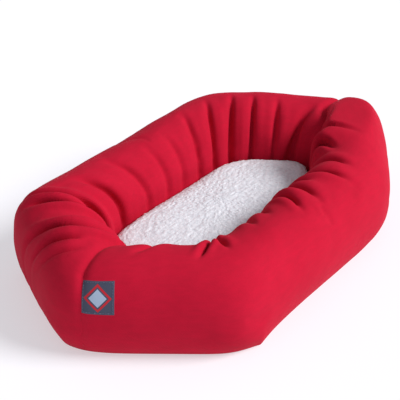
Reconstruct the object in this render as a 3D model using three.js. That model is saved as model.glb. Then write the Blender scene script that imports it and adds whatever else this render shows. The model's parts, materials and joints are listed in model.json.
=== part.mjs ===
// A stuffed pet bed: a ring-shaped bolster round a fleece-topped pad, both sewn down to one base cloth.
// Millimetres, +Z up, +X along the bed. The origin is on the floor, under the middle of the bed.
// The ring is a tube of cover cloth in two lengths, joined at the two ends of the bed. It is open
// underneath, where the base cloth closes it, and it holds one ring of loose fibre filling.
// Places on the tube are given by the compass angle round the bed, in degrees from +X towards +Y, and by
// the section at that angle, whose coordinates are the distance inwards from the widest outline, and z.
import * as THREE from "three";
import { mergeGeometries } from "three/addons/utils/BufferGeometryUtils.js";
import { ParametricGeometry } from "three/addons/geometries/ParametricGeometry.js";

// Overall sizes
const LENGTH = 813;
const WIDTH = 489;
const HEIGHT = 178;

// The outline is a slack octagon. Each side faces a compass angle, and fullness 1 is as far out there as
// an oval of the same length and width. Sewn by hand from cloth, no two corners come out the same.
const SIDES = [
  { facing: 0, fullness: 1.03 },
  { facing: 39, fullness: 0.95 },
  { facing: 90, fullness: 1 },
  { facing: 151, fullness: 1.025 },
  { facing: 180, fullness: 1.1 },
  { facing: -141, fullness: 0.98 },
  { facing: -90, fullness: 1 },
  { facing: -55, fullness: 1.04 },
];
const OUTER_SHARPNESS = 12; // a higher power makes tighter corners
const INNER_SHARPNESS = 8;

// The bolster's tube
const TUBE_WIDTH = 138;
const BELLY_HEIGHT = 78; // height at which the tube is widest
const CREST_POWER = 2.1; // 2 is an ellipse, and more is squarer
const OUTER_TUCK = 24; // how far the base seam lies in from the widest outline
const INNER_TUCK = 22; // how far the inner seam lies back under the tube's inner side
const TUCK_POWER = 2.7;
const SLUMP = 8; // how much lower the crest is at the lowest place than at the highest
const HIGH_SIDE = 8; // compass angle of the highest place

// The two joins in the cover, and how much they draw the tube in
const FRONT_JOIN = -176;
const REAR_JOIN = -4;
const JOIN_PINCH = 7;
const JOIN_PINCH_ANGLE = 7;

// Cloth, thread and the gap that touching pieces keep
const BASE_CLOTH = 1;
const COVER_CLOTH = 1.2;
const SEAM_ALLOWANCE = 10;
const THREAD_RADIUS = 0.45;
const GAP = 0.4;
const FILLING_GAP = 0.9; // between a filling and its cover

// The fleece pad
const PAD_SIDE_HEIGHT = 62; // how far up the pad's side follows the bolster
const PAD_SHOULDER_HEIGHT = 84;
const PAD_SHOULDER = 44; // distance in from the side to where the top is flat
const PAD_CROWN = 94;
const FLEECE = 7;
const PAD_BOLSTER_GAP = 4; // room for the inner seam between pad and bolster

// Labels
const LABEL_SIZE = 54;
const LABEL_CLOTH = 0.8;
const LABEL_CENTRE_HEIGHT = 120;
const LABEL_FROM_JOIN = 1.5; // from the front join to the label's nearer edge
const LABEL_STITCH_INSET = 3;
const TAG_ANGLE = 36; // where it is sewn in
const TAG_WIDTH = 32;
const TAG_LENGTH = 28;
const TAG_CLOTH = 0.7;
const TAG_FLOOR_GAP = 0.5;

// The stretch of base seam that was left open for filling the ring and then sewn shut by hand
const FILL_OPENING_ANGLE = 90;
const FILL_OPENING_LENGTH = 150;

// How finely the shapes are cut into faces
const STEPS_ROUND = 54;
const STEPS_OVER_TUBE = 12;
const THREAD_SIDES = 4;

const BASE_TOP = BASE_CLOTH + GAP;
const RAD = Math.PI / 180;
const TURN = 360;

/** How far the octagon moved inwards by a distance reaches from its centre at an angle. */
function octagonRadius(angle, inwards) {
  const power = OUTER_SHARPNESS + ((INNER_SHARPNESS - OUTER_SHARPNESS) * inwards) / TUBE_WIDTH;
  const sum = SIDES.reduce((total, { facing, fullness }) => {
    const reach = fullness * Math.hypot(Math.cos(facing * RAD) * LENGTH, Math.sin(facing * RAD) * WIDTH) / 2;
    return total + (Math.max(0, Math.cos((angle - facing) * RAD)) / (reach - inwards)) ** power;
  }, 0);
  return sum ** (-1 / power);
}

/** The shift and stretch, both slight, that make the outline LENGTH by WIDTH about the origin. */
function outlineFit() {
  const box = new THREE.Box2();
  for (let angle = 0; angle < TURN; angle += 0.5) {
    const r = octagonRadius(angle, 0);
    box.expandByPoint(new THREE.Vector2(r * Math.cos(angle * RAD), r * Math.sin(angle * RAD)));
  }
  return { centre: box.getCenter(new THREE.Vector2()), size: box.getSize(new THREE.Vector2()) };
}

const FIT = outlineFit();

/** A point in space from a radius about the octagon's centre, a compass angle and a height. */
function spot(angle, radius, z, target = new THREE.Vector3()) {
  const x = radius * Math.cos(angle * RAD) - FIT.centre.x;
  const y = radius * Math.sin(angle * RAD) - FIT.centre.y;
  return target.set((x * LENGTH) / FIT.size.x, (y * WIDTH) / FIT.size.y, z);
}

/** A point in space from a compass angle and a point of the section there. */
function place(angle, inwards, z, target) {
  return spot(angle, octagonRadius(angle, inwards), z, target);
}

/** 1 at a join, falling smoothly to 0 away from both joins. */
function nearJoin(angle) {
  const bump = (join) => {
    const away = ((((angle - join) % TURN) + 1.5 * TURN) % TURN) - TURN / 2;
    return Math.exp(-((away / JOIN_PINCH_ANGLE) ** 2));
  };
  return Math.max(bump(FRONT_JOIN), bump(REAR_JOIN));
}

function crestHeight(angle) {
  const low = (1 - Math.cos((angle - HIGH_SIDE) * RAD)) / 2;
  return HEIGHT - SLUMP * low - JOIN_PINCH * nearJoin(angle);
}

/** How far in the tube's outer side is at height z, from the seam at the bottom to the belly. */
function outerSide(angle, z) {
  const down = Math.max(0, 1 - (z - BASE_TOP) / (BELLY_HEIGHT - BASE_TOP));
  return OUTER_TUCK * down ** TUCK_POWER;
}

/** How far in the tube's inner side is at height z. */
function innerSide(angle, z) {
  const down = Math.max(0, 1 - (z - BASE_TOP) / (BELLY_HEIGHT - BASE_TOP));
  return TUBE_WIDTH - JOIN_PINCH * nearJoin(angle) - INNER_TUCK * down ** TUCK_POWER;
}

/** The cover's outside, from the outer seam over the crest to the inner seam, as evenly spaced points. */
function coverSection(angle, steps) {
  const sideSteps = 4;
  const crestSteps = 12;
  const points = [];
  const level = (i) => BASE_TOP + ((BELLY_HEIGHT - BASE_TOP) * i) / sideSteps;
  for (let i = 0; i < sideSteps; i++) {
    points.push(new THREE.Vector2(outerSide(angle, level(i)), level(i)));
  }
  const half = innerSide(angle, BELLY_HEIGHT) / 2;
  const rise = crestHeight(angle) - BELLY_HEIGHT;
  for (let i = 0; i <= crestSteps; i++) {
    const t = (Math.PI * i) / crestSteps;
    const c = Math.cos(t);
    const s = Math.sin(t);
    const k = (Math.abs(c) ** CREST_POWER + Math.abs(s) ** CREST_POWER) ** (-1 / CREST_POWER);
    points.push(new THREE.Vector2(half - half * c * k, BELLY_HEIGHT + rise * s * k));
  }
  for (let i = sideSteps - 1; i >= 0; i--) {
    points.push(new THREE.Vector2(innerSide(angle, level(i)), level(i)));
  }
  return new THREE.SplineCurve(points).getSpacedPoints(steps);
}

/** An open chain of section points moved sideways into the tube by depthAt(i), with mitred corners. */
function movedInside(points, depthAt) {
  return points.map((point, i) => {
    const before = points[Math.max(i - 1, 0)];
    const after = points[Math.min(i + 1, points.length - 1)];
    const a = point.clone().sub(before).normalize();
    const b = after.clone().sub(point).normalize();
    const along = a.clone().add(b).normalize();
    const lean = Math.max(0.4, along.dot(a.lengthSq() ? a : b));
    return new THREE.Vector2(along.y, -along.x).multiplyScalar(depthAt(i) / lean).add(point);
  });
}

/** The cover's section with the seam allowances that lie turned in on the base cloth. */
function coverWithAllowances(angle) {
  const over = coverSection(angle, STEPS_OVER_TUBE);
  const first = over[0];
  const last = over[over.length - 1];
  return [
    new THREE.Vector2(first.x + SEAM_ALLOWANCE, first.y),
    ...over,
    new THREE.Vector2(last.x - SEAM_ALLOWANCE, last.y),
  ];
}

/** A surface patch through point(u, v), cut into the same faces but faced the other way if flipped. */
function patch(point, uSteps, vSteps, flipped) {
  return flipped
    ? new ParametricGeometry((v, u, out) => point(u, v, out), vSteps, uSteps)
    : new ParametricGeometry(point, uSteps, vSteps);
}

/** A closed slab from point(u, v, side), with side 1 on the outside; round is true if u closes on itself. */
function slab(point, uSteps, vSteps, round = false) {
  const faces = [
    patch((u, v, out) => point(u, v, 1, out), uSteps, vSteps, false),
    patch((u, v, out) => point(u, v, 0, out), uSteps, vSteps, true),
    patch((u, w, out) => point(u, 0, w, out), uSteps, 1, false),
    patch((u, w, out) => point(u, 1, w, out), uSteps, 1, true),
  ];
  if (!round) {
    faces.push(patch((w, v, out) => point(0, v, w, out), 1, vSteps, false));
    faces.push(patch((w, v, out) => point(1, v, w, out), 1, vSteps, true));
  }
  return mergeGeometries(faces);
}

/** A closed ring whose section at each angle is a closed chain of section points. */
function ring(angles, sectionAt) {
  const sections = angles.map((angle) => sectionAt(angle));
  const sides = sections[0].length;
  return new ParametricGeometry(
    (u, v, out) => {
      const i = Math.round(u * angles.length) % angles.length;
      const point = sections[i][Math.round(v * sides) % sides];
      place(angles[i], point.x, point.y, out);
    },
    angles.length,
    sides,
  );
}

/** A small closed circle of section points round (x, y). */
function threadSection(x, y) {
  return Array.from({ length: THREAD_SIDES }, (_, i) => {
    const t = (-2 * Math.PI * i) / THREAD_SIDES;
    return new THREE.Vector2(x + THREAD_RADIUS * Math.cos(t), y + THREAD_RADIUS * Math.sin(t));
  });
}

/** Angles from one to another, in equal steps, both ends included. */
function anglesBetween(from, to, steps) {
  return Array.from({ length: steps + 1 }, (_, i) => from + ((to - from) * i) / steps);
}

/** The angle that a distance round the outline takes up there. */
function angleOf(distance, angle) {
  return distance / octagonRadius(angle, 0) / RAD;
}

/** Angles along one length of the cover, closer together where the filling's grooves begin and end. */
function anglesAlongLength(from, to) {
  const steps = Math.round((STEPS_ROUND * (to - from)) / TURN);
  const near = (join) => GROOVE_EDGES.map((distance) => angleOf(distance, join));
  const between = anglesBetween(from, to, steps).slice(1, -1);
  return [from, ...near(from).map((a) => from + a), ...between, ...near(to).map((a) => to - a).reverse(), to];
}

const GROOVE_EDGES = [4 * COVER_CLOTH, 7 * COVER_CLOTH];
const RIGHT_ANGLES = anglesAlongLength(FRONT_JOIN, REAR_JOIN);
const LEFT_ANGLES = anglesAlongLength(REAR_JOIN, FRONT_JOIN + TURN);
const ALL_ANGLES = [...RIGHT_ANGLES.slice(0, -1), ...LEFT_ANGLES.slice(0, -1)];

/** One length of the cover, with its ends turned in as seam allowances at the two joins. */
function coverLength(angles) {
  const first = angles[0] + angleOf(GAP / 2, angles[0]);
  const last = angles[angles.length - 1] - angleOf(GAP / 2, angles[angles.length - 1]);
  const turn = angleOf(COVER_CLOTH, first);
  const rows = coverWithAllowances(first).length - 1;
  const none = () => 0;
  const cloth = () => COVER_CLOTH;
  // The turned-in end narrows to nothing at the bottom, where it is caught in the base seam.
  const end = (i) => (i < 2 || i > rows - 2 ? 2 * COVER_CLOTH : SEAM_ALLOWANCE);
  const grid = [
    { out: first, in: first + turn, outDepth: end, inDepth: end },
    { out: first, in: first + turn, outDepth: none, inDepth: cloth },
    ...angles.slice(1, -1).map((a) => ({ out: a, in: a, outDepth: none, inDepth: cloth })),
    { out: last, in: last - turn, outDepth: none, inDepth: cloth },
    { out: last, in: last - turn, outDepth: end, inDepth: end },
  ].map((column) => ({
    ...column,
    outside: movedInside(coverWithAllowances(column.out), column.outDepth),
    inside: movedInside(coverWithAllowances(column.in), column.inDepth),
  }));
  return slab(
    (u, v, side, out) => {
      const column = grid[Math.round(u * (grid.length - 1))];
      const point = (side ? column.outside : column.inside)[Math.round(v * rows)];
      place(side ? column.out : column.in, point.x, point.y, out);
    },
    grid.length - 1,
    rows,
  );
}

/** The fibre ring: the tube's inside, with its lower corners cut off and a groove at each join. */
function bolsterFilling() {
  const grooves = [RIGHT_ANGLES.slice(0, 2), RIGHT_ANGLES.slice(-2), LEFT_ANGLES.slice(0, 2), LEFT_ANGLES.slice(-2)];
  return ring(ALL_ANGLES, (angle) => {
    const grooved = grooves.flat().includes(angle);
    const depth = (grooved ? SEAM_ALLOWANCE : 0) + COVER_CLOTH + FILLING_GAP;
    const over = movedInside(coverSection(angle, STEPS_OVER_TUBE), () => depth).slice(1, -1);
    const clear = (grooved ? 2 : 1) * SEAM_ALLOWANCE + 3 * GAP;
    const outer = outerSide(angle, BASE_TOP) + clear;
    const inner = innerSide(angle, BASE_TOP) - clear;
    return [...over, new THREE.Vector2(inner, BASE_TOP + GAP), new THREE.Vector2(outer, BASE_TOP + GAP)];
  });
}

/** A domed solid on the inner outline; depth moves its surface in from the fleece's outside. */
function padRows(angle, depth) {
  const side = innerSide(angle, BASE_TOP) + PAD_BOLSTER_GAP;
  const rows = [];
  const sideSteps = 3;
  for (let i = 0; i <= sideSteps; i++) {
    const z = BASE_TOP + ((PAD_SIDE_HEIGHT - depth - BASE_TOP) * i) / sideSteps;
    const follow = Math.max(side, innerSide(angle, Math.min(z + depth, BELLY_HEIGHT)) + PAD_BOLSTER_GAP);
    rows.push([octagonRadius(angle, follow + depth), z]);
  }
  const [edge, low] = rows[rows.length - 1];
  const domeSteps = 4;
  const centreSteps = 2;
  const middle = edge - (PAD_SHOULDER - depth);
  for (let i = 1; i <= domeSteps + centreSteps; i++) {
    const onDome = Math.min(1, i / domeSteps) ** 1.6;
    const r = i <= domeSteps ? edge + (middle - edge) * onDome : (middle * (domeSteps + centreSteps - i)) / centreSteps;
    const across = Math.min(1, (edge - r) / (edge - middle));
    const round = (1 - (1 - across) ** CREST_POWER) ** (1 / CREST_POWER);
    const crown = (PAD_CROWN - PAD_SHOULDER_HEIGHT) * (1 - (r / edge) ** 2);
    rows.push([r, low + (PAD_SHOULDER_HEIGHT - depth - low) * round + crown]);
  }
  return rows;
}

/** A closed surface round the pad's centre from rows of [radius, z], first and last at the centre. */
function roundPad(rowsAt) {
  const sections = ALL_ANGLES.map((angle) => rowsAt(angle));
  const rows = sections[0].length - 1;
  return new ParametricGeometry(
    (u, v, out) => {
      const i = Math.round(u * ALL_ANGLES.length) % ALL_ANGLES.length;
      const [r, z] = sections[i][Math.round(v * rows)];
      spot(ALL_ANGLES[i], r, z, out);
    },
    ALL_ANGLES.length,
    rows,
  );
}

function fleeceTop() {
  return roundPad((angle) => padRows(angle, FLEECE).reverse().concat(padRows(angle, 0)));
}

function padFilling() {
  return roundPad((angle) => {
    const rows = padRows(angle, FLEECE + 2 * FILLING_GAP).map(([r, z], i) => [r, i ? z : z + GAP]);
    return [[0, rows[0][1]], ...rows];
  });
}

/** A flat cloth cut to the outline at the outer seam. */
function basePanel() {
  const outline = ALL_ANGLES.map((angle) => {
    const at = place(angle, outerSide(angle, BASE_TOP), 0);
    return new THREE.Vector2(at.x, at.y);
  });
  return new THREE.ExtrudeGeometry(new THREE.Shape(outline), { depth: BASE_CLOTH, bevelEnabled: false });
}

/** The machine stitches that hold the cover and the base together, inside the tube. */
function outerSeamStitching() {
  const height = BASE_TOP + 2 * COVER_CLOTH + GAP + THREAD_RADIUS;
  return ring(ALL_ANGLES, (angle) => threadSection(outerSide(angle, BASE_TOP) + SEAM_ALLOWANCE / 2, height));
}

/** The stitches through cover, fleece and base, in the valley between bolster and pad. */
function innerSeamStitching() {
  const height = BASE_TOP + THREAD_RADIUS + GAP / 2;
  return ring(ALL_ANGLES, (angle) => threadSection(innerSide(angle, BASE_TOP) + PAD_BOLSTER_GAP / 2, height));
}

/** A thread along the tube's section at a join, just inside the cover. */
function joinStitching(join) {
  const angle = join + 2 * angleOf(COVER_CLOTH + GAP + THREAD_RADIUS, join);
  const section = movedInside(coverSection(angle, STEPS_OVER_TUBE), () => SEAM_ALLOWANCE / 2);
  const middle = section.slice(1, -1).map((point) => place(angle, point.x, point.y));
  return tube(new THREE.CatmullRomCurve3(middle), STEPS_OVER_TUBE);
}

/** A solid thread along an open curve. */
function tube(curve, steps) {
  const circle = new THREE.Shape(threadSection(0, 0));
  return new THREE.ExtrudeGeometry(circle, { steps, extrudePath: curve, bevelEnabled: false });
}

/** The hand stitches that close the filling opening, outside the base seam. */
function fillOpeningStitching() {
  const half = angleOf(FILL_OPENING_LENGTH / 2, FILL_OPENING_ANGLE);
  const height = BASE_TOP + THREAD_RADIUS;
  const clear = THREAD_RADIUS + 3 * GAP;
  const points = anglesBetween(FILL_OPENING_ANGLE - half, FILL_OPENING_ANGLE + half, 8).map((angle) =>
    place(angle, outerSide(angle, height) - clear, height),
  );
  return tube(new THREE.CatmullRomCurve3(points), 16);
}

/** The cover's outside at a distance round from an angle and up the side, lifted off by height. */
function onCover(angle, round, up, lift, out) {
  const at = angle + angleOf(round, angle);
  const fine = 60;
  const section = movedInside(coverSection(at, fine), () => -lift);
  const centre = coverSection(at, fine).findIndex((point) => point.y > LABEL_CENTRE_HEIGHT);
  const step = section[centre].distanceTo(section[centre + 1]);
  const exact = centre + up / step;
  const below = Math.floor(exact);
  const point = section[below].clone().lerp(section[below + 1], exact - below);
  return place(at, point.x, point.y, out);
}

const LABEL_ANGLE = FRONT_JOIN + angleOf(LABEL_FROM_JOIN + LABEL_SIZE / 2, FRONT_JOIN);

/** A woven square that lies on the cover's outer side beside the front join. */
function wovenLabel() {
  const across = 6;
  return slab(
    (u, v, side, out) =>
      onCover(LABEL_ANGLE, (u - 0.5) * LABEL_SIZE, (v - 0.5) * LABEL_SIZE, GAP + side * LABEL_CLOTH, out),
    across,
    across,
  );
}

/** One thread that runs round the label, inside its edge and just above it. */
function labelStitching() {
  const sides = THREAD_SIDES;
  const perSide = 6;
  const lift = 2 * GAP + LABEL_CLOTH + THREAD_RADIUS;
  const corners = [[-1, -1], [1, -1], [1, 1], [-1, 1]];
  return new ParametricGeometry(
    (u, v, out) => {
      const along = Math.round(u * 4 * perSide) % (4 * perSide);
      const from = corners[Math.floor(along / perSide)];
      const to = corners[(Math.floor(along / perSide) + 1) % 4];
      const share = (along % perSide) / perSide;
      const t = (2 * Math.PI * (Math.round(v * sides) % sides)) / sides;
      const half = LABEL_SIZE / 2 - LABEL_STITCH_INSET + THREAD_RADIUS * Math.cos(t);
      const x = from[0] + (to[0] - from[0]) * share;
      const y = from[1] + (to[1] - from[1]) * share;
      onCover(LABEL_ANGLE, x * half, y * half, lift + THREAD_RADIUS * Math.sin(t), out);
    },
    4 * perSide,
    sides,
  );
}

/** The care tag, a tape that lies out from the base seam and can flap up against the bolster. */
function careTag() {
  const seam = place(TAG_ANGLE, OUTER_TUCK, 0);
  const along = place(TAG_ANGLE + 2, OUTER_TUCK, 0).sub(place(TAG_ANGLE - 2, OUTER_TUCK, 0));
  const group = new THREE.Group();
  group.position.set(seam.x, seam.y, 0);
  group.rotation.z = Math.atan2(-along.x, along.y);
  const geometry = new THREE.BoxGeometry(TAG_LENGTH, TAG_WIDTH, TAG_CLOTH);
  const mesh = piece("care_tag", geometry, { color: 0xf1efe8, roughness: 0.85 });
  mesh.position.set(TAG_LENGTH / 2 + 2 * GAP, 0, TAG_FLOOR_GAP + TAG_CLOTH / 2);
  group.add(mesh);
  return group;
}

function piece(name, geometry, finish) {
  const mesh = new THREE.Mesh(geometry, new THREE.MeshStandardMaterial({ metalness: 0, ...finish }));
  mesh.name = name;
  return mesh;
}

const RED_TWILL = { color: 0xc41230, roughness: 0.88 };
const RED_THREAD = { color: 0xa80f28, roughness: 0.7 };
const WHITE_FLEECE = { color: 0xeceaf0, roughness: 0.97 };
const WHITE_FIBRE = { color: 0xf4f4f2, roughness: 1 };
const BASE_NYLON = { color: 0x8e1226, roughness: 0.6 };
const SLATE_WEAVE = { color: 0x43495c, roughness: 0.75 };
const SLATE_THREAD = { color: 0x3a4052, roughness: 0.7 };

const bed = new THREE.Group();
bed.add(
  piece("base_panel", basePanel(), BASE_NYLON),
  piece("bolster_cover_right", coverLength(RIGHT_ANGLES), RED_TWILL),
  piece("bolster_cover_left", coverLength(LEFT_ANGLES), RED_TWILL),
  piece("bolster_filling", bolsterFilling(), WHITE_FIBRE),
  piece("fleece_top", fleeceTop(), WHITE_FLEECE),
  piece("pad_filling", padFilling(), WHITE_FIBRE),
  piece("outer_seam_stitching", outerSeamStitching(), RED_THREAD),
  piece("inner_seam_stitching", innerSeamStitching(), RED_THREAD),
  piece("front_join_stitching", joinStitching(FRONT_JOIN), RED_THREAD),
  piece("rear_join_stitching", joinStitching(REAR_JOIN), RED_THREAD),
  piece("fill_opening_stitching", fillOpeningStitching(), RED_THREAD),
  piece("woven_label", wovenLabel(), SLATE_WEAVE),
  piece("label_stitching", labelStitching(), SLATE_THREAD),
  careTag(),
);

export default bed;
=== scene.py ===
"""A bolster pet bed: a red twill bolster in two lengths round a fleece pad, on a coated base cloth.

Lengths are in millimetres where a name says so or a plan formula is worked out, and become metres in a mesh.
The bed stands on z = 0 with its long side along X, and angles are compass angles from +X towards +Y.
"""

import json
import logging
from dataclasses import dataclass, field
from enum import Enum

import bmesh
import bpy
import numpy as np
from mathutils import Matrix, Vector

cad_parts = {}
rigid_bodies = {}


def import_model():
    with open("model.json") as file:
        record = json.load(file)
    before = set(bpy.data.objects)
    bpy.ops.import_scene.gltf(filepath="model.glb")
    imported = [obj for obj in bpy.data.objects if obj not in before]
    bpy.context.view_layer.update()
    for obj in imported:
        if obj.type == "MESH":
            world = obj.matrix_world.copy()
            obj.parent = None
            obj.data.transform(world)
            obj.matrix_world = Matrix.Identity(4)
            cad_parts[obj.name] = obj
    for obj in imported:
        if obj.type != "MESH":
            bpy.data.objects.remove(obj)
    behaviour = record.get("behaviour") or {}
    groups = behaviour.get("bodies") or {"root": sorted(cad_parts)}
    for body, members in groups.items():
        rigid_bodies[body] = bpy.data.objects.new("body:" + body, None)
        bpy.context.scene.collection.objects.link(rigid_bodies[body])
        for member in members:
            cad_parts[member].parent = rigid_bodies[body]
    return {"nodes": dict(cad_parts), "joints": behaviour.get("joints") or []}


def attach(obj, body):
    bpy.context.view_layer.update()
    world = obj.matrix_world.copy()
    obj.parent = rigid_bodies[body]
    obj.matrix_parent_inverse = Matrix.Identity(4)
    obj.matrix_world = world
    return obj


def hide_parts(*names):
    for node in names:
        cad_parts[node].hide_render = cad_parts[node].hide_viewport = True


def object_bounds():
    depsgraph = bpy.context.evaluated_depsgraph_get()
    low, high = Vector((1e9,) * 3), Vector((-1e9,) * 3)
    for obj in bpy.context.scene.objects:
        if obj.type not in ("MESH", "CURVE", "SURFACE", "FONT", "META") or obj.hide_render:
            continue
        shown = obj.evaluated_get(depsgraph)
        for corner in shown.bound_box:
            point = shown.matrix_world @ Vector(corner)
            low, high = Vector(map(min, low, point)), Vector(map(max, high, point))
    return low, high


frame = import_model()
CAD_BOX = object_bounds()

LOG = logging.getLogger("pet_bed")
MM = 0.001
TURN = 360.0
WAVE_PERIOD = np.pi / 10  # a Wave Texture at this scale repeats once in a unit


class Slot(Enum):
    """The record's material slots."""

    BASE = "base_cloth"
    TWILL = "red_twill"
    FIBRE = "fibre_filling"
    FLEECE = "white_fleece"
    THREAD = "red_thread"
    LABEL = "label_weave"
    LABEL_THREAD = "label_thread"
    TAG = "tag_tape"


class Body(Enum):
    """The bodies of the model."""

    BED = "bed"
    TAG = "tag"


# ---------------------------------------------------------------- small tools


def linear(hex_colour: str) -> tuple[float, float, float, float]:
    """Turns an sRGB hex colour into linear light.

    Args:
        hex_colour: Six hex digits, with or without a leading #.

    Returns:
        Red, green, blue and an alpha of 1.
    """
    digits = hex_colour.lstrip("#")
    values = np.array([int(digits[i : i + 2], 16) for i in (0, 2, 4)]) / 255
    light = np.where(values <= 0.04045, values / 12.92, ((values + 0.055) / 1.055) ** 2.4)
    return (*(float(x) for x in light), 1.0)


def smooth_step(low: float, high: float, value: np.ndarray) -> np.ndarray:
    """Rises from 0 at low to 1 at high on the cubic 3t^2 - 2t^3."""
    t = np.clip((value - low) / (high - low), 0, 1)
    return t * t * (3 - 2 * t)


def angle_gap(angle: np.ndarray, other: np.ndarray | float) -> np.ndarray:
    """The signed turn in degrees from other to angle, from -180 to 180."""
    return (angle - other + TURN / 2) % TURN - TURN / 2


def bell(angle: np.ndarray, middle: float, breadth: float) -> np.ndarray:
    """1 at the middle angle, falling to 0 either side as exp(-(gap / breadth)^2)."""
    return np.exp(-((angle_gap(angle, middle) / breadth) ** 2))


def arc(angle: np.ndarray, middle: np.ndarray | float, radius: np.ndarray) -> np.ndarray:
    """How far round a circle from the middle angle to another, in the radius's unit."""
    return angle_gap(angle, middle) * np.pi / 180 * radius


def value_noise(points: np.ndarray, size: float, seed: int) -> np.ndarray:
    """Smooth random bumps: hashed values on a lattice, blended by smoothstep between its eight corners.

    Args:
        points: Places, as an array whose last axis is x, y, z.
        size: The lattice's spacing, in the same unit as points.
        seed: Chooses the pattern.

    Returns:
        A value from -1 to 1 for each point.
    """
    cell = points / size
    low = np.floor(cell).astype(np.int64)
    t = cell - low
    t = t * t * (3 - 2 * t)
    total = np.zeros(points.shape[:-1])
    for corner in np.ndindex(2, 2, 2):
        at = low + corner
        mixed = (at[..., 0] * 73856093) ^ (at[..., 1] * 19349663) ^ (at[..., 2] * 83492791) ^ (seed * 2654435761)
        mixed = (mixed & 0xFFFFFFFF) * 0x45D9F3B & 0xFFFFFFFF
        mixed = ((mixed ^ (mixed >> 16)) * 0x45D9F3B) & 0xFFFFFFFF
        value = ((mixed ^ (mixed >> 16)) & 0xFFFF) / 32767.5 - 1
        weight = np.prod(np.where(np.array(corner) == 1, t, 1 - t), axis=-1)
        total += value * weight
    return total


def grid_faces(rows: int, columns: int, round_rows: bool = False, round_columns: bool = False) -> np.ndarray:
    """The quads of a grid whose vertex (i, j) is number i * columns + j.

    Args:
        rows: Number of vertex rows.
        columns: Number of vertices in a row.
        round_rows: Joins the last row to the first.
        round_columns: Joins the last column to the first.

    Returns:
        An array of four vertex numbers a face.
    """
    i = np.arange(rows if round_rows else rows - 1)[:, None]
    j = np.arange(columns if round_columns else columns - 1)[None, :]
    down, right = (i + 1) % rows, (j + 1) % columns
    quads = [i * columns + j, i * columns + right, down * columns + right, down * columns + j]
    return np.stack(np.broadcast_arrays(*quads), axis=-1).reshape(-1, 4)


def grid_normals(points: np.ndarray, round_rows: bool, round_columns: bool) -> np.ndarray:
    """Unit normals of a grid of points, from the cross product of its column and row directions."""

    def across(axis: int, closed: bool) -> np.ndarray:
        """The direction from the neighbour before to the neighbour after along an axis."""
        if closed:
            return np.roll(points, -1, axis) - np.roll(points, 1, axis)
        return np.gradient(points, axis=axis)

    normal = np.cross(across(1, round_columns), across(0, round_rows))
    return normal / np.maximum(np.linalg.norm(normal, axis=-1, keepdims=True), 1e-12)


def resample(points: np.ndarray, rows: np.ndarray, columns: np.ndarray) -> np.ndarray:
    """Points between a doubly closed grid's own, by Catmull-Rom splines along both directions.

    Args:
        points: The grid, rows by columns by values, closed both ways.
        rows: Row numbers with fractions.
        columns: Column numbers with fractions.

    Returns:
        The grid of points at every row and column asked for.
    """

    def along(values: np.ndarray, places: np.ndarray) -> np.ndarray:
        """Blends four neighbours along the first axis."""
        low = np.floor(places).astype(int)
        t = (places - low)[:, None, None]
        count = values.shape[0]
        a, b, c, d = (values[(low + k) % count] for k in (-1, 0, 1, 2))
        return 0.5 * (2 * b + (c - a) * t + (2 * a - 5 * b + 4 * c - d) * t**2 + (3 * b - a - 3 * c + d) * t**3)

    half = along(points, rows)
    return along(half.transpose(1, 0, 2), columns).transpose(1, 0, 2)


def make_mesh(
    name: str, points: np.ndarray, faces: list | np.ndarray, uv: np.ndarray | None = None
) -> bpy.types.Object:
    """Puts points and faces into a smooth-shaded object at the origin.

    Args:
        name: The piece's name.
        points: Vertex places in metres.
        faces: Vertex numbers of each face.
        uv: A place on the flat cloth for each vertex, in metres, or None.

    Returns:
        The new object, linked to the scene.
    """
    mesh = bpy.data.meshes.new(name)
    listed = faces.tolist() if isinstance(faces, np.ndarray) else faces
    mesh.from_pydata(points.reshape(-1, 3).tolist(), [], listed)
    mesh.polygons.foreach_set("use_smooth", np.ones(len(mesh.polygons), dtype=bool))
    if uv is not None:
        corner = np.empty(len(mesh.loops), dtype=np.int32)
        mesh.loops.foreach_get("vertex_index", corner)
        layer = mesh.uv_layers.new(name="cloth")
        layer.data.foreach_set("uv", uv.reshape(-1, 2)[corner].ravel())
    mesh.validate()
    mesh.update()
    made = bpy.data.objects.new(name, mesh)
    bpy.context.collection.objects.link(made)
    return made


def face_outwards(piece: bpy.types.Object) -> None:
    """Merges doubles and turns every face of a closed mesh outwards."""
    mesh = piece.data
    work = bmesh.new()
    work.from_mesh(mesh)
    bmesh.ops.remove_doubles(work, verts=work.verts, dist=1e-7)
    bmesh.ops.recalc_face_normals(work, faces=work.faces)
    work.to_mesh(mesh)
    work.free()


def face_up(piece: bpy.types.Object) -> None:
    """Turns every face of a nearly flat sheet upwards."""
    work = bmesh.new()
    work.from_mesh(piece.data)
    flipped = [face for face in work.faces if face.normal.z < 0]
    bmesh.ops.reverse_faces(work, faces=flipped)
    work.to_mesh(piece.data)
    work.free()


def thicken(piece: bpy.types.Object, thickness: float) -> None:
    """Gives a cloth its thickness, inwards from its outer face, with a closed rim."""
    wall = piece.modifiers.new("cloth thickness", "SOLIDIFY")
    wall.thickness = thickness
    wall.offset = -1
    wall.use_even_offset = False
    wall.use_rim = True


def finish_piece(
    piece: bpy.types.Object, body: Body, slot: Slot, material: bpy.types.Material, *nodes: str
) -> None:
    """Dresses a piece, puts it on its body and names the CAD nodes that it stands for.

    Args:
        piece: The finished object.
        body: The body that it rides on.
        slot: The record's slot that its finish comes from; not used.
        material: Its material.
        nodes: The CAD nodes that it replaces.
    """
    piece.data.materials.clear()
    piece.data.materials.append(material)
    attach(piece, body.value)
    if nodes:
        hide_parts(*nodes)
    LOG.info("%s: %d vertices, for %s", piece.name, len(piece.data.vertices), ", ".join(nodes) or "detail")


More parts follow.
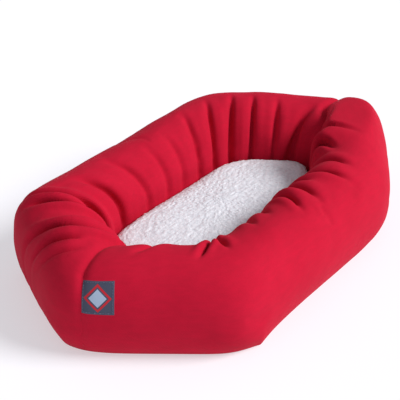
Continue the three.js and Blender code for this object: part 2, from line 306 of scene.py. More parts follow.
def thread_piece(
    name: str, lines: np.ndarray, radius: float, slot: Slot, material: bpy.types.Material, *nodes: str
) -> bpy.types.Object:
    """Many short threads in one piece: six points round each line's path, with a cap at both ends.

    Args:
        name: The piece's name.
        lines: Threads by points by x, y, z, in metres.
        radius: The thread's radius in metres.
        slot: The record's slot.
        material: Its material.
        nodes: The CAD nodes that it replaces.

    Returns:
        The finished piece.
    """
    count, steps = lines.shape[:2]
    along = np.gradient(lines, axis=1)
    along /= np.linalg.norm(along, axis=-1, keepdims=True)
    off_line = np.broadcast_to(np.array([0.31, 0.17, 0.93]), along.shape)  # no thread runs this way
    side = np.cross(along, off_line)
    side /= np.linalg.norm(side, axis=-1, keepdims=True)
    other = np.cross(side, along)
    sides = 6
    turn = np.arange(sides) * 2 * np.pi / sides
    rings = lines[:, :, None] + radius * (
        np.cos(turn)[:, None] * side[:, :, None] + np.sin(turn)[:, None] * other[:, :, None]
    )
    tube = grid_faces(steps, sides, round_columns=True)
    faces: list = []
    for first in range(0, count * steps * sides, steps * sides):
        last = first + (steps - 1) * sides
        faces += (tube + first).tolist()
        faces += [list(range(first, first + sides)), list(range(last + sides - 1, last - 1, -1))]
    piece = make_mesh(name, rings, faces)
    face_outwards(piece)
    finish_piece(piece, Body.BED, slot, material, *nodes)
    return piece


# ------------------------------------------------------------------- finishes


def add_node(tree: bpy.types.NodeTree, kind: str, links: dict | None = None, **settings) -> bpy.types.Node:
    """Adds a node, with its settings, its socket values and the links into it.

    Args:
        tree: The material's node tree.
        kind: The node's Blender type name.
        links: For each input, by name or number, a value or another node's output.
        settings: Attributes of the node.

    Returns:
        The new node.
    """
    node = tree.nodes.new(kind)
    for key, value in settings.items():
        setattr(node, key, value)
    for key, value in (links or {}).items():
        if isinstance(value, bpy.types.NodeSocket):
            tree.links.new(value, node.inputs[key])
        else:
            node.inputs[key].default_value = value
    return node


@dataclass(frozen=True)
class Pattern:
    """A material's nodes: short ways to add what the finishes' patterns are made of."""

    tree: bpy.types.NodeTree
    shader: bpy.types.Node

    def place(self, kind: str) -> bpy.types.NodeSocket:
        """Where a point is: on the flat cloth for UV, or in the piece's own space for Object."""
        return add_node(self.tree, "ShaderNodeTexCoord").outputs[kind]

    def mapped(self, place: bpy.types.NodeSocket, change: str, amount: tuple) -> bpy.types.NodeSocket:
        """A place turned or stretched about the origin."""
        return add_node(self.tree, "ShaderNodeMapping", {"Vector": place, change: amount}).outputs[0]

    def noise(
        self, place: bpy.types.NodeSocket, size_mm: float, detail: float = 2.0, roughness: float = 0.5,
        distortion: float = 0.0, output: int = 0,
    ) -> bpy.types.NodeSocket:
        """Noise with features of a size: output 0 is a number and output 1 is a colour."""
        links = {
            "Vector": place, "Scale": 1 / (size_mm * MM), "Detail": detail, "Roughness": roughness,
            "Distortion": distortion,
        }
        return add_node(self.tree, "ShaderNodeTexNoise", links).outputs[output]

    def bands(
        self, place: bpy.types.NodeSocket, period_mm: float, distortion: float, direction: str = "X",
        detail: float = 2.0,
    ) -> bpy.types.NodeSocket:
        """Even bands, one in each period."""
        links = {
            "Vector": place, "Scale": WAVE_PERIOD / (period_mm * MM), "Distortion": distortion, "Detail": detail,
        }
        return add_node(self.tree, "ShaderNodeTexWave", links, bands_direction=direction).outputs["Fac"]

    def math(self, operation: str, *values: bpy.types.NodeSocket | float) -> bpy.types.NodeSocket:
        """One operation on numbers."""
        return add_node(self.tree, "ShaderNodeMath", dict(enumerate(values)), operation=operation).outputs[0]

    def vector(self, operation: str, links: dict) -> bpy.types.NodeSocket:
        """One operation on places or colours."""
        return add_node(self.tree, "ShaderNodeVectorMath", links, operation=operation).outputs[0]

    def blend(
        self, share: bpy.types.NodeSocket | float, first: bpy.types.NodeSocket | str,
        second: bpy.types.NodeSocket | str,
    ) -> bpy.types.NodeSocket:
        """From the first colour at a share of 0 to the second at 1, each a hex colour or a node's output."""
        sides = [linear(side) if isinstance(side, str) else side for side in (first, second)]
        links = {0: share, 6: sides[0], 7: sides[1]}
        return add_node(self.tree, "ShaderNodeMix", links, data_type="RGBA").outputs[2]

    def spread(
        self, value: bpy.types.NodeSocket, start: tuple[float, float], end: tuple[float, float]
    ) -> bpy.types.NodeSocket:
        """Carries a value's range over to another range."""
        ends = {"From Min": start[0], "From Max": start[1], "To Min": end[0], "To Max": end[1]}
        return add_node(self.tree, "ShaderNodeMapRange", {"Value": value} | ends).outputs[0]

    def colour(self, colour: bpy.types.NodeSocket) -> None:
        """Gives the shader its colour."""
        self.tree.links.new(colour, self.shader.inputs["Base Color"])

    def relief(self, height: bpy.types.NodeSocket, strength: float, distance_mm: float) -> None:
        """Raises the surface by a height, as bump."""
        links = {"Height": height, "Strength": strength, "Distance": distance_mm * MM}
        bump = add_node(self.tree, "ShaderNodeBump", links)
        self.tree.links.new(bump.outputs[0], self.shader.inputs["Normal"])


@dataclass(frozen=True)
class Finish:
    """What every finish has: a name, a base colour and the shader's constants."""

    name: str
    tint: str
    roughness: float = 0.85
    sheen: float = 0.0
    sheen_roughness: float = 0.5
    sheen_tint: str = "ffffff"
    specular: float = 0.35

    def material(self) -> bpy.types.Material:
        """Makes the material: one Principled shader, then the finish's own pattern."""
        made = bpy.data.materials.new(self.name)
        made.use_nodes = True
        made.diffuse_color = linear(self.tint)
        shader = made.node_tree.nodes["Principled BSDF"]
        shader.inputs["Base Color"].default_value = linear(self.tint)
        shader.inputs["Roughness"].default_value = self.roughness
        shader.inputs["Sheen Weight"].default_value = self.sheen
        shader.inputs["Sheen Roughness"].default_value = self.sheen_roughness
        shader.inputs["Sheen Tint"].default_value = linear(self.sheen_tint)
        shader.inputs["Specular IOR Level"].default_value = self.specular
        self.draw(Pattern(made.node_tree, shader))
        return made

    def draw(self, pattern: Pattern) -> None:
        """Adds the pattern; each finish has its own."""


@dataclass(frozen=True)
class TwillFinish(Finish):
    """Brushed poly-cotton twill: matt, with diagonal ridges, a slight fuzz that lightens edges, and uneven dye.

    A real twill line is about 0.9 mm apart. It is drawn at 2.4 mm, as fine as it can be and still show.
    """

    shade: str = "ab0c29"
    light: str = "cf1d3c"
    twill_mm: float = 2.4
    twill_slant: float = 27
    thread_mm: float = 1.6
    slub_mm: float = 9.0
    slub_stretch: float = 0.35
    dye_mm: float = 70.0
    evenness: float = 0.55
    bump_mm: float = 0.12

    def draw(self, pattern: Pattern) -> None:
        """Mixes dye patches, slubs along the threads and the twill's diagonal into colour, roughness and bump."""
        place, solid = pattern.place("UV"), pattern.place("Object")
        turned = pattern.mapped(place, "Rotation", (0, 0, np.radians(self.twill_slant)))
        twill = pattern.bands(turned, self.twill_mm, 1.2, detail=1.0)
        slubs = pattern.noise(pattern.mapped(place, "Scale", (self.slub_stretch, 1.0, 1.0)), self.slub_mm, 4.0, 0.6)
        fuzz = pattern.noise(solid, self.thread_mm, 3.0, 0.7)
        patches = pattern.blend(pattern.noise(solid, self.dye_mm, 3.0, 0.55), self.shade, self.light)
        uneven = pattern.math("ADD", slubs, fuzz)
        tone = pattern.spread(uneven, (0.6, 1.4), (0.88, 1.1))
        both = pattern.math("MULTIPLY", tone, pattern.spread(twill, (0.0, 1.0), (0.965, 1.025)))
        dyed = pattern.blend(self.evenness, patches, self.tint)
        pattern.colour(pattern.vector("SCALE", {0: dyed, "Scale": both}))
        rough = pattern.spread(uneven, (0.6, 1.4), (0.78, 0.95))
        pattern.tree.links.new(rough, pattern.shader.inputs["Roughness"])
        pattern.relief(pattern.math("ADD", twill, uneven), 0.6, self.bump_mm)


@dataclass(frozen=True)
class FleeceFinish(Finish):
    """Knitted sherpa fleece: curled polyester pile in 3 to 6 mm tufts, white above, with a cool grey painted shade
    down between the tufts.
    """

    # painted shade: the cool grey that the hollows between tufts take
    root: str = "d6d8e2"
    tuft_mm: float = 6.0
    wander: float = 0.006
    curl_mm: float = 2.0
    bump_mm: float = 1.2

    def draw(self, pattern: Pattern) -> None:
        """Tufts from a smooth Voronoi and curls from noise, with painted shade darkening the hollows between tufts,
        both raised as bump.
        """
        place = pattern.place("Object")
        shift = pattern.vector("SCALE", {0: pattern.noise(place, 2 * self.tuft_mm, output=1), "Scale": self.wander})
        tufts = add_node(
            pattern.tree, "ShaderNodeTexVoronoi",
            {"Vector": pattern.vector("ADD", {0: place, 1: shift}), "Scale": 1 / (self.tuft_mm * MM),
             "Smoothness": 0.6},
            feature="SMOOTH_F1",
        ).outputs["Distance"]
        height = pattern.math("MULTIPLY_ADD", tufts, -1.0, pattern.noise(place, self.curl_mm, 3.0, 0.7))
        # painted shade: the lower the pile, the nearer its colour comes to the grey of the hollows
        pattern.colour(pattern.blend(pattern.spread(height, (-0.35, 0.35), (0.0, 1.0)), self.root, self.tint))
        pattern.relief(height, 0.7, self.bump_mm)


@dataclass(frozen=True)
class WovenFinish(Finish):
    """A plain or coated weave: two sets of threads at right angles, with a little unevenness."""

    dark: str = "202124"
    thread_mm: float = 1.2
    bump_mm: float = 0.12
    contrast: float = 0.5

    def draw(self, pattern: Pattern) -> None:
        """Crosses two wave patterns into a basket of threads, for colour and bump."""
        place = pattern.place("UV")
        weave = pattern.math("MULTIPLY", *(pattern.bands(place, self.thread_mm, 0.6, side) for side in ("X", "Y")))
        mixed = pattern.math("ADD", weave, pattern.noise(place, 4 * self.thread_mm, 4.0, 0.6))
        pattern.colour(pattern.blend(pattern.spread(mixed, (0.3, 1.3), (0.0, self.contrast)), self.tint, self.dark))
        pattern.relief(weave, 0.5, self.bump_mm)


@dataclass(frozen=True)
class ThreadFinish(Finish):
    """Spun polyester sewing thread: two plies twisted, seen as fine slanting bands."""

    dark: str = "7c0b1f"
    twist_mm: float = 1.4
    bump_mm: float = 0.1

    def draw(self, pattern: Pattern) -> None:
        """Slanting bands of shade along every direction, with bump between the plies."""
        plies = pattern.bands(pattern.place("Object"), self.twist_mm, 2.0, "DIAGONAL")
        pattern.colour(pattern.blend(plies, self.dark, self.tint))
        pattern.relief(plies, 0.5, self.bump_mm)


@dataclass(frozen=True)
class FibreFinish(Finish):
    """Siliconised hollow polyester fibre: matted white wisps."""

    dark: str = "d9d9d6"
    wisp_mm: float = 6.0
    bump_mm: float = 1.0

    def draw(self, pattern: Pattern) -> None:
        """Warped noise for the wisps, in colour and bump."""
        wisps = pattern.noise(pattern.place("Object"), self.wisp_mm, 5.0, distortion=2.0)
        pattern.colour(pattern.blend(wisps, self.dark, self.tint))
        pattern.relief(wisps, 0.6, self.bump_mm)


@dataclass(frozen=True)
class LabelFinish(Finish):
    """Damask-woven polyester label: slate ground, and a pale lozenge inside a red lozenge frame, in fine ribs."""

    frame_tint: str = "c4202f"
    centre_tint: str = "a9bcd6"
    rib_share: float = 1.2 / 54
    centre_half: float = 0.27
    frame_low: float = 0.33
    frame_high: float = 0.42
    bump_mm: float = 0.1

    def draw(self, pattern: Pattern) -> None:
        """The lozenges come from |x| + |y| of the label's own 0 to 1 map, and the ribs from bands across it."""
        place = pattern.place("UV")
        folded = pattern.vector("ABSOLUTE", {0: pattern.vector("ADD", {0: place, 1: (-0.5, -0.5, 0.0)})})
        parts = add_node(pattern.tree, "ShaderNodeSeparateXYZ", {0: folded})
        reach = pattern.math("ADD", parts.outputs[0], parts.outputs[1])
        inside = pattern.math("LESS_THAN", reach, self.centre_half)
        within = pattern.math("LESS_THAN", reach, self.frame_high)
        ring = pattern.math("MULTIPLY", within, pattern.math("GREATER_THAN", reach, self.frame_low))
        motif = pattern.blend(ring, pattern.blend(inside, self.tint, self.centre_tint), self.frame_tint)
        ribs = pattern.bands(place, self.rib_share / MM, 0.4, "Y")
        pattern.colour(pattern.vector("SCALE", {0: motif, "Scale": pattern.spread(ribs, (0.0, 1.0), (0.88, 1.06))}))
        pattern.relief(ribs, 0.4, self.bump_mm)


@dataclass(frozen=True)
class FloorFinish(Finish):
    """A seamless matt acrylic sweep, all but white and lit a little from behind, so that shadows stay light."""

    mottle_tint: str = "c2c2c8"
    mottle_mm: float = 500.0
    glow: float = 0.5
    glow_tint: str = "fbfbff"

    def draw(self, pattern: Pattern) -> None:
        """A very faint mottling, so that the sweep isn't perfectly even, and the light from behind."""
        mottle = pattern.noise(pattern.place("Object"), self.mottle_mm)
        pattern.colour(pattern.blend(mottle, self.tint, self.mottle_tint))
        pattern.shader.inputs["Emission Color"].default_value = linear(self.glow_tint)
        pattern.shader.inputs["Emission Strength"].default_value = self.glow


@dataclass(frozen=True)
class Wardrobe:
    """Every material of the bed, made once."""

    twill: bpy.types.Material
    fleece: bpy.types.Material
    base: bpy.types.Material
    fibre: bpy.types.Material
    thread: bpy.types.Material
    label: bpy.types.Material
    label_thread: bpy.types.Material
    tape: bpy.types.Material
    sweep: bpy.types.Material

    @staticmethod
    def make() -> "Wardrobe":
        """Makes the materials from their finishes."""
        return Wardrobe(
            twill=TwillFinish(
                "brushed poly-cotton twill", "bf1231", sheen=0.04, sheen_roughness=0.45, sheen_tint="ff9aa8",
                specular=0.1,
            ).material(),
            fleece=FleeceFinish(
                "sherpa fleece, knitted polyester", "eaecf4", roughness=0.95, sheen=0.15, sheen_roughness=0.6,
                specular=0.2,
            ).material(),
            base=WovenFinish("coated polyester base cloth", "8f1527", dark="5c0d19", roughness=0.6).material(),
            fibre=FibreFinish("hollow polyester fibre", "f4f4f1", roughness=0.9, sheen=0.3).material(),
            thread=ThreadFinish("spun polyester thread, red", "b51a34", roughness=0.55, sheen=0.1).material(),
            label=LabelFinish("damask-woven label", "464b60", roughness=0.7, sheen=0.1, specular=0.3).material(),
            label_thread=ThreadFinish(
                "spun polyester thread, slate", "767d98", dark="4a5068", roughness=0.55
            ).material(),
            tape=WovenFinish(
                "woven acetate tape", "f1efe8", dark="cfccc2", roughness=0.6, thread_mm=0.8, contrast=0.35
            ).material(),
            sweep=FloorFinish("back-lit acrylic sweep", "bcbcc2", roughness=0.95, specular=0.05).material(),
        )


# --------------------------------------------------------------- the bed's plan


@dataclass
class BedPlan:
    """The bed's outline, an octagon with soft corners, and the bolster's section, as formulas in millimetres.

    The outline's radius at an angle is a power mean of the reaches of eight sides; a higher power makes tighter
    corners. It is centred and stretched to be exactly length by width.

    Attributes:
        sides: Each side's facing angle, and how full it is beside an ellipse.
        outer_sharpness: The power of the mean at the outline.
        inner_sharpness: The power at the tube's inner side.
        outer_tuck: How far the outer side tucks under, down to the base seam.
        base_corners: Angles, and how far out the base seam stands there; at the care tag it is a little further in.
        base_corner_fall: How fast a base corner fades up the side.
        full_ends: Angle, half-breadth and extra power where the section is squarer.
        tag_hollow: Angle, half-breadth, top in mm and depth in mm of the hollow above the care tag.
    """

    length: float = 813
    width: float = 489
    height: float = 178
    sides: tuple[tuple[float, float], ...] = (
        (0, 1.03), (39, 0.95), (90, 1.0), (151, 1.025), (180, 1.1), (-141, 0.98), (-90, 1.0), (-55, 1.04),
    )
    outer_sharpness: float = 17
    inner_sharpness: float = 8
    tube_width: float = 138
    belly_height: float = 78
    crest_power: float = 2.1
    outer_tuck: float = 24
    inner_tuck: float = 22
    tuck_power: float = 2.7
    slump: float = 8
    high_side: float = 8
    front_join: float = -176
    rear_join: float = -4
    join_pinch: float = 7
    join_pinch_angle: float = 7
    base_top: float = 1.4
    base_corners: tuple[tuple[float, float], ...] = (
        (-35, 23), (-130, 13), (178, 8), (60, 11), (17, 7), (141, 14), (36.4, -2.4),
    )
    base_corner_breadth: float = 6.5
    base_corner_fall: float = 1.3
    tag_hollow: tuple[float, float, float, float] = (36.4, 5.5, 56, 5)
    full_ends: tuple[tuple[float, float, float], ...] = ((-18, 13, 0.8), (147, 10, 0.5))
    centre: np.ndarray = field(init=False)
    stretch: np.ndarray = field(init=False)

    def __post_init__(self) -> None:
        """Finds the move and stretch that bring the outline's box to length by width about the origin."""
        angle = np.arange(0, TURN, 0.5)
        at = self.radius(angle, 0.0)[:, None] * self.directions(angle)
        low, high = at.min(axis=0), at.max(axis=0)
        self.centre = (low + high) / 2
        self.stretch = np.array([self.length, self.width]) / (high - low)

    @staticmethod
    def directions(angle: np.ndarray) -> np.ndarray:
        """Unit vectors in plan at compass angles."""
        return np.stack([np.cos(np.radians(angle)), np.sin(np.radians(angle))], axis=-1)

    def radius(self, angle: np.ndarray, inwards: np.ndarray | float) -> np.ndarray:
        """The octagon's radius, inwards of the outline: 1 over the power mean of cos(turn) / reach of its sides."""
        inwards = np.asarray(inwards, dtype=float)
        sharpness = self.outer_sharpness + (self.inner_sharpness - self.outer_sharpness) * inwards / self.tube_width
        total = 0.0
        for facing, fullness in self.sides:
            turn = np.radians(facing)
            reach = fullness * np.hypot(np.cos(turn) * self.length, np.sin(turn) * self.width) / 2
            total = total + (np.maximum(0, np.cos(np.radians(angle - facing))) / (reach - inwards)) ** sharpness
        return total ** (-1 / sharpness)

    def spot(self, angle: np.ndarray, radius: np.ndarray, z: np.ndarray) -> np.ndarray:
        """A place in metres from an angle, a plan radius and a height in millimetres."""
        plan = (radius[..., None] * self.directions(angle) - self.centre) * self.stretch
        return np.concatenate([plan, np.broadcast_to(z, radius.shape)[..., None]], axis=-1) * MM

    def place(self, angle: np.ndarray, inwards: np.ndarray, z: np.ndarray) -> np.ndarray:
        """A place in metres from an angle, a distance in from the outline and a height in millimetres."""
        angle, inwards, z = np.broadcast_arrays(angle, inwards, z)
        return self.spot(angle, self.radius(angle, inwards), z)

    def near_join(self, angle: np.ndarray) -> np.ndarray:
        """1 at a join, falling to 0 either side as a bell."""
        return np.maximum(*(bell(angle, join, self.join_pinch_angle) for join in (self.front_join, self.rear_join)))

    def crest(self, angle: np.ndarray) -> np.ndarray:
        """The bolster's height round the bed: it slumps away from its high side, and is pinched at the joins."""
        low = (1 - np.cos(np.radians(angle - self.high_side))) / 2
        return self.height - self.slump * low - self.join_pinch * self.near_join(angle)

    def down(self, z: np.ndarray) -> np.ndarray:
        """How far down the side a height is: 0 at the belly and 1 at the base."""
        return np.maximum(0, 1 - (z - self.base_top) / (self.belly_height - self.base_top))

    def outer_side(self, z: np.ndarray | float) -> np.ndarray:
        """The tube's outer side, in from the outline: it tucks under towards the base seam."""
        return self.outer_tuck * self.down(np.asarray(z, dtype=float)) ** self.tuck_power

    def base_corner(self, angle: np.ndarray) -> np.ndarray:
        """How much further out the base seam lies at the base cloth's pointed corners, in mm."""
        breadth = self.base_corner_breadth
        return sum(out * np.exp(-np.abs(angle_gap(angle, at)) / breadth) for at, out in self.base_corners)

    def hollow(self, angle: np.ndarray, z: np.ndarray) -> np.ndarray:
        """How far in the cover lies low down above the care tag, in mm, which leaves the tag room to swing up."""
        middle, breadth, top, depth = self.tag_hollow
        rise = np.sin(np.pi * np.clip((z - self.base_top) / (top - self.base_top), 0, 1))
        return depth * np.exp(-((angle_gap(angle, middle) / breadth) ** 4)) * rise**0.7

    def inner_side(self, angle: np.ndarray, z: np.ndarray | float) -> np.ndarray:
        """The tube's inner side, in from the outline: it tucks back under towards the inner seam."""
        tuck = self.inner_tuck * self.down(np.asarray(z, dtype=float)) ** self.tuck_power
        return self.tube_width - self.join_pinch * self.near_join(angle) - tuck

    def section(self, angle: np.ndarray, zone: np.ndarray) -> tuple[np.ndarray, np.ndarray]:
        """The tube's closed section, a point for each zone number from 0 to 4.

        0 to 1 climbs the outer side, 1 to 2 goes over the crest as a superellipse, 2 to 3 comes down the inner
        side and 3 to 4 goes back along the base.

        Args:
            angle: Compass angles.
            zone: Zone numbers, which broadcast with the angles.

        Returns:
            Distances in from the outline, and heights.
        """
        angle, zone = np.broadcast_arrays(angle, zone)
        part = np.clip(np.floor(zone), 0, 3).astype(int)
        share = zone - part
        up = self.belly_height - self.base_top
        corner = self.base_corner(angle)
        climb = self.base_top + up * share
        fall = self.belly_height - up * share
        half = self.inner_side(angle, self.belly_height) / 2
        turn = np.pi * share
        c, s = np.cos(turn), np.sin(turn)
        power = self.crest_power + sum(extra * bell(angle, at, breadth) for at, breadth, extra in self.full_ends)
        k = (np.abs(c) ** power + np.abs(s) ** power) ** (-1 / power)
        foot_in, foot_out = self.inner_side(angle, self.base_top), self.outer_side(self.base_top) - corner
        outer = self.outer_side(climb) - corner * self.down(climb) ** self.base_corner_fall
        inwards = np.choose(
            part,
            [outer + self.hollow(angle, climb), half - half * c * k, self.inner_side(angle, fall),
             foot_in + (foot_out - foot_in) * share],
        )
        z = np.choose(
            part,
            [climb, self.belly_height + (self.crest(angle) - self.belly_height) * s * k, fall,
             np.full(angle.shape, self.base_top)],
        )
        return inwards, z


# -------------------------------------------------------------------- bolster


@dataclass(frozen=True)
class Fold:
    """One gather in the cover: a groove that runs from the inner side out over the tube.

    Attributes:
        inner: Compass angle at its inner end.
        outer: Compass angle at its outer end.
        inner_reach: Where its inner end is, in mm in from the outline.
        outer_reach: Where its outer end is, in mm in from the outline.
        depth: Its depth in mm where it is deepest.
        breadth: Half its width in mm.
    """

    inner: float
    outer: float
    inner_reach: float
    outer_reach: float
    depth: float
    breadth: float = 7.0

    def drop(self, angle: np.ndarray, inwards: np.ndarray, radius: np.ndarray) -> np.ndarray:
        """How far the cloth sinks: a bell across the fold, flanked by rolls, that fades at its two ends.

        Args:
            angle: Compass angles of the cover's points.
            inwards: How far in from the outline they are, in mm.
            radius: Their plan radius in mm.

        Returns:
            Depth in mm, negative where the rolls beside the fold stand proud.
        """
        along = (self.inner_reach - inwards) / (self.inner_reach - self.outer_reach)
        middle = self.inner + (self.outer - self.inner) * along
        across = arc(angle, middle, radius) / self.breadth
        fade = smooth_step(-0.25, 0.12, along) * (1 - smooth_step(0.35, 1.08, along))
        groove = np.exp(-(across**2)) - 0.42 * np.exp(-(((np.abs(across) - 2.1) / 1.1) ** 2))
        return self.depth * fade * groove


@dataclass
class Bolster:
    """The stuffed ring: two lengths of cover, joined front and rear, and the fibre inside them.

    Attributes:
        columns_right: Columns of the simulated grid along the right length.
        fine_columns: Columns of the finished grid along the right and the left length.
        ring_length: The cover's length round the bed when flat, in metres.
        girth: Its length round the tube when flat, in metres.
        puff_cap: The furthest that the simulation may move the cover.
        inner_cap: The furthest beside the pad.
        outer_cap: The furthest on the outer side, beyond which most of a move is taken back.
        pad_top: The pad's height beside the cover, in mm.
        seam_grooves: Each join's angle, and its groove's depth in mm.
        rear_lean: How far in degrees the rear join bends round inside, and over what half-breadth.
        front_lean: Distances in from the outline, and how far in degrees the front join leans there.
        crease_depth: The share of each fold's depth that is pressed in again after the simulation.
        crease_breadth: The share of its breadth that the pressed crease has.
        near_swell: Angle, half-breadth and height in mm of the crest's rise beside the rear join.
        near_swell_reach: The distances in from the outline, in mm, between which that rise starts.
        far_dip: The same as near_swell for the dip on the join's other side.
        corner_swell: The same for the far front corner.
        spare_corners: The angles of the bed's ends, where the cover has most spare cloth.
        middle: The tube's middle, in mm in from the outline.
        fibre_gap: How far under the deepest cover nearby the fibre lies, in mm.
    """

    plan: BedPlan
    wardrobe: Wardrobe
    columns_right: int = 176
    columns_left: int = 200
    rows: int = 96
    fine_columns: tuple[int, int] = (336, 382)
    fine_rows: int = 138
    ring_length: float = 2.16
    girth: float = 0.51
    cloth: float = 1.2 * MM
    allowance: float = 10 * MM
    allowance_rise: float = 1.4 * MM
    turned_at_foot: float = 0.35
    join_gap: float = 0.25 * MM
    join_roll: float = 0.35 * MM
    puff_cap: float = 15 * MM
    inner_cap: float = 2.2 * MM
    outer_cap: float = 2.5 * MM
    box_slack: float = 6 * MM
    box_slack_share: float = 0.02
    pad_top: float = 88.0
    seam_grooves: tuple[tuple[float, float], ...] = ((-176, 4.5), (-4, 11.0))
    rear_lean: tuple[float, float] = (-8, 16)
    front_lean: tuple[tuple[float, float], ...] = ((0, 0.5), (8, -0.1), (30, -2.0), (90, -4.3), (138, -4.7))
    front_lean_breadth: float = 14.0
    seam_breadth: float = 8.0
    seam_crease_breadth: float = 3.1
    pucker_depth: float = 0.45
    pucker_breadth: float = 9.0
    puckers_a_zone: float = 11.0
    crease_depth: float = 0.75
    crease_breadth: float = 0.5
    near_swell: tuple[float, float, float] = (-18, 13, 21)
    near_swell_reach: tuple[float, float] = (-4, 48)
    far_dip: tuple[float, float, float] = (4, 9, 7)
    corner_swell: tuple[float, float, float] = (147, 8, 1)
    spare_corners: tuple[float, ...] = (-35, 30, 152, -152)
    spare_corner_breadth: float = 26.0
    least_spare: float = 0.35
    pin_breadth: float = 0.9
    join_pin: float = 0.9
    blow_up_frames: int = 20
    middle: float = 70.0
    fibre_gap: float = 3.8
    fibre_gap_at_joins: float = 11.0
    fibre_lump: float = 0.8
    fibre_foot: float = 5.2
    folds: tuple[Fold, ...] = (
        # the right end, from the rear join round to the near side
        Fold(1, 0, 138, 84, 9, 12),
        Fold(-13, -19, 136, 98, 4, 9),
        Fold(-15, -31, 138, 58, 12, 8.0),
        Fold(-21, -37, 138, 96, 13, 6),
        Fold(-39, -53, 134, 50, 11, 6.5),
        Fold(-55, -62, 136, 34, 13, 7),
        Fold(-66, -69, 134, 88, 7, 7),
        Fold(-75, -84, 136, 42, 11, 9),
        Fold(-89, -98, 136, 48, 13, 8),
        Fold(-146, -150, 116, 54, 13, 5.5),
        Fold(-145, -139, 110, 64, 8, 5.0),
        Fold(-112, -114, 136, 84, 4, 9),
        Fold(-127, -125, 136, 80, 5, 8),
        # the left end, from the front join round to the far side
        Fold(-166, -169, 136, 60, 6, 9),
        Fold(178, 157, 138, 0, 33, 7.5),
        Fold(172, 163, 60, 0, 13, 5.0),
        Fold(176, 168, 52, 4, 6, 4.5),
        Fold(160, 148, 138, 18, 31, 7.5),
        Fold(157, 142, 136, 8, 15, 5.5),
        Fold(146, 140, 138, 74, 8, 8),
        # the far side
        Fold(128, 124, 138, 66, 4, 10),
        Fold(104, 102, 138, 84, 3, 12),
        Fold(80, 82, 138, 84, 3, 12),
        Fold(57, 60, 138, 66, 5, 10),
        Fold(42, 45, 138, 62, 7, 8),
        Fold(31, 33, 138, 60, 8, 8),
        Fold(20, 24, 138, 64, 8, 7),
        Fold(9, 14, 138, 72, 6, 7),
    )
    surface: np.ndarray = field(init=False)
    flat: np.ndarray = field(init=False)
    fine_zone: np.ndarray = field(init=False)
    fine_angle: np.ndarray = field(init=False)

    def zones(self, count: int) -> np.ndarray:
        """Zone numbers evenly spaced along a typical section, first at the outer foot."""
        dense = np.linspace(0, 4, 2401)
        inwards, z = self.plan.section(np.array(60.0), dense)
        length = np.concatenate([[0], np.cumsum(np.hypot(np.diff(inwards), np.diff(z)))])
        return np.interp(np.linspace(0, length[-1], count, endpoint=False), length, dense)

    def angles(self, right: int, left: int) -> np.ndarray:
        """Compass angles evenly spaced along the tube's middle, with a column on each join.

        Args:
            right: Columns from the front join to the rear one.
            left: Columns from the rear join back to the front one.

        Returns:
            right + left angles, the first at the front join.
        """

        def spaced(start: float, end: float, count: int) -> np.ndarray:
            """Angles from start, evenly spaced along the line at mid tube."""
            dense = np.linspace(start, end, 1801)
            line = self.plan.place(dense, self.plan.tube_width / 3, np.zeros_like(dense))
            length = np.concatenate([[0], np.cumsum(np.linalg.norm(np.diff(line, axis=0), axis=1))])
            return np.interp(np.linspace(0, length[-1], count, endpoint=False), length, dense)

        front, rear = self.plan.front_join, self.plan.rear_join
        return np.concatenate([spaced(front, rear, right), spaced(rear, front + TURN, left)])

    def lean(self, angle: np.ndarray, inwards: np.ndarray) -> np.ndarray:
        """How far in degrees the joins lean: the rear one bends round inside, the front one slants all the way."""
        rear_turn, rear_breadth = self.rear_lean
        rear = bell(angle, self.plan.rear_join, rear_breadth) * rear_turn * smooth_step(84, 132, inwards)
        front_shift = np.interp(inwards, *np.transpose(self.front_lean))
        return rear + bell(angle, self.plan.front_join, self.front_lean_breadth) * front_shift

    def join_show(self, join: float, z: np.ndarray) -> np.ndarray:
        """How deep a join's groove shows at a height: the front one lies flat under and below the label."""
        if join == self.plan.rear_join:
            return np.ones_like(z)
        return 0.3 + 0.7 * smooth_step(118, 150, z)

    def laid_out(self, angle: np.ndarray, zone: np.ndarray) -> tuple[np.ndarray, np.ndarray, np.ndarray]:
        """The plain section at every row and column, where the columns lean with the joins.

        Args:
            angle: The columns' angles.
            zone: The rows' zone numbers.

        Returns:
            Grids of angles, of distances in from the outline and of heights, in degrees and mm.
        """
        angle, zone = angle[None, :], zone[:, None]
        inwards, z = self.plan.section(angle, zone)
        on_tube = (zone > 0) & (zone < 3)
        return angle + np.where(on_tube, self.lean(angle, inwards), 0.0), inwards, z

    def start_shape(self, angle: np.ndarray, zone: np.ndarray) -> tuple[np.ndarray, np.ndarray]:
        """The cover before it is blown up: the section carried round the outline, with its gathers sunk in.

        Args:
            angle: The columns' angles.
            zone: The rows' zone numbers.

        Returns:
            The grid of points in metres, rows by columns, and the distance in from the outline of each.
        """
        plan = self.plan
        at, inwards, z = self.laid_out(angle, zone)
        over = smooth_step(plan.belly_height * 0.35, plan.belly_height * 1.5, z)
        near, dip, corner = (
            height * bell(at, middle, breadth)
            for middle, breadth, height in (self.near_swell, self.far_dip, self.corner_swell)
        )
        z = z + over * (near * smooth_step(*self.near_swell_reach, inwards) - dip + corner)
        points = plan.place(at, inwards, z)
        normal = grid_normals(points, True, True)
        radius = plan.radius(at, inwards)
        sink = np.zeros_like(z)
        for fold in self.folds:
            sink += fold.drop(at, inwards, radius)
        for join, groove in self.seam_grooves:
            away = arc(angle[None, :], join, radius) / self.seam_breadth
            sink += groove * np.exp(-(away**2)) * self.join_show(join, z)
        inside = (zone[:, None] >= 2) & (zone[:, None] < 3)
        low_inside = np.where(inside, smooth_step(plan.belly_height * 0.2, self.pad_top, z), 1.0)
        low_outside = smooth_step(4, 40, z)
        return points - normal * (sink * low_inside * low_outside * MM)[..., None], inwards

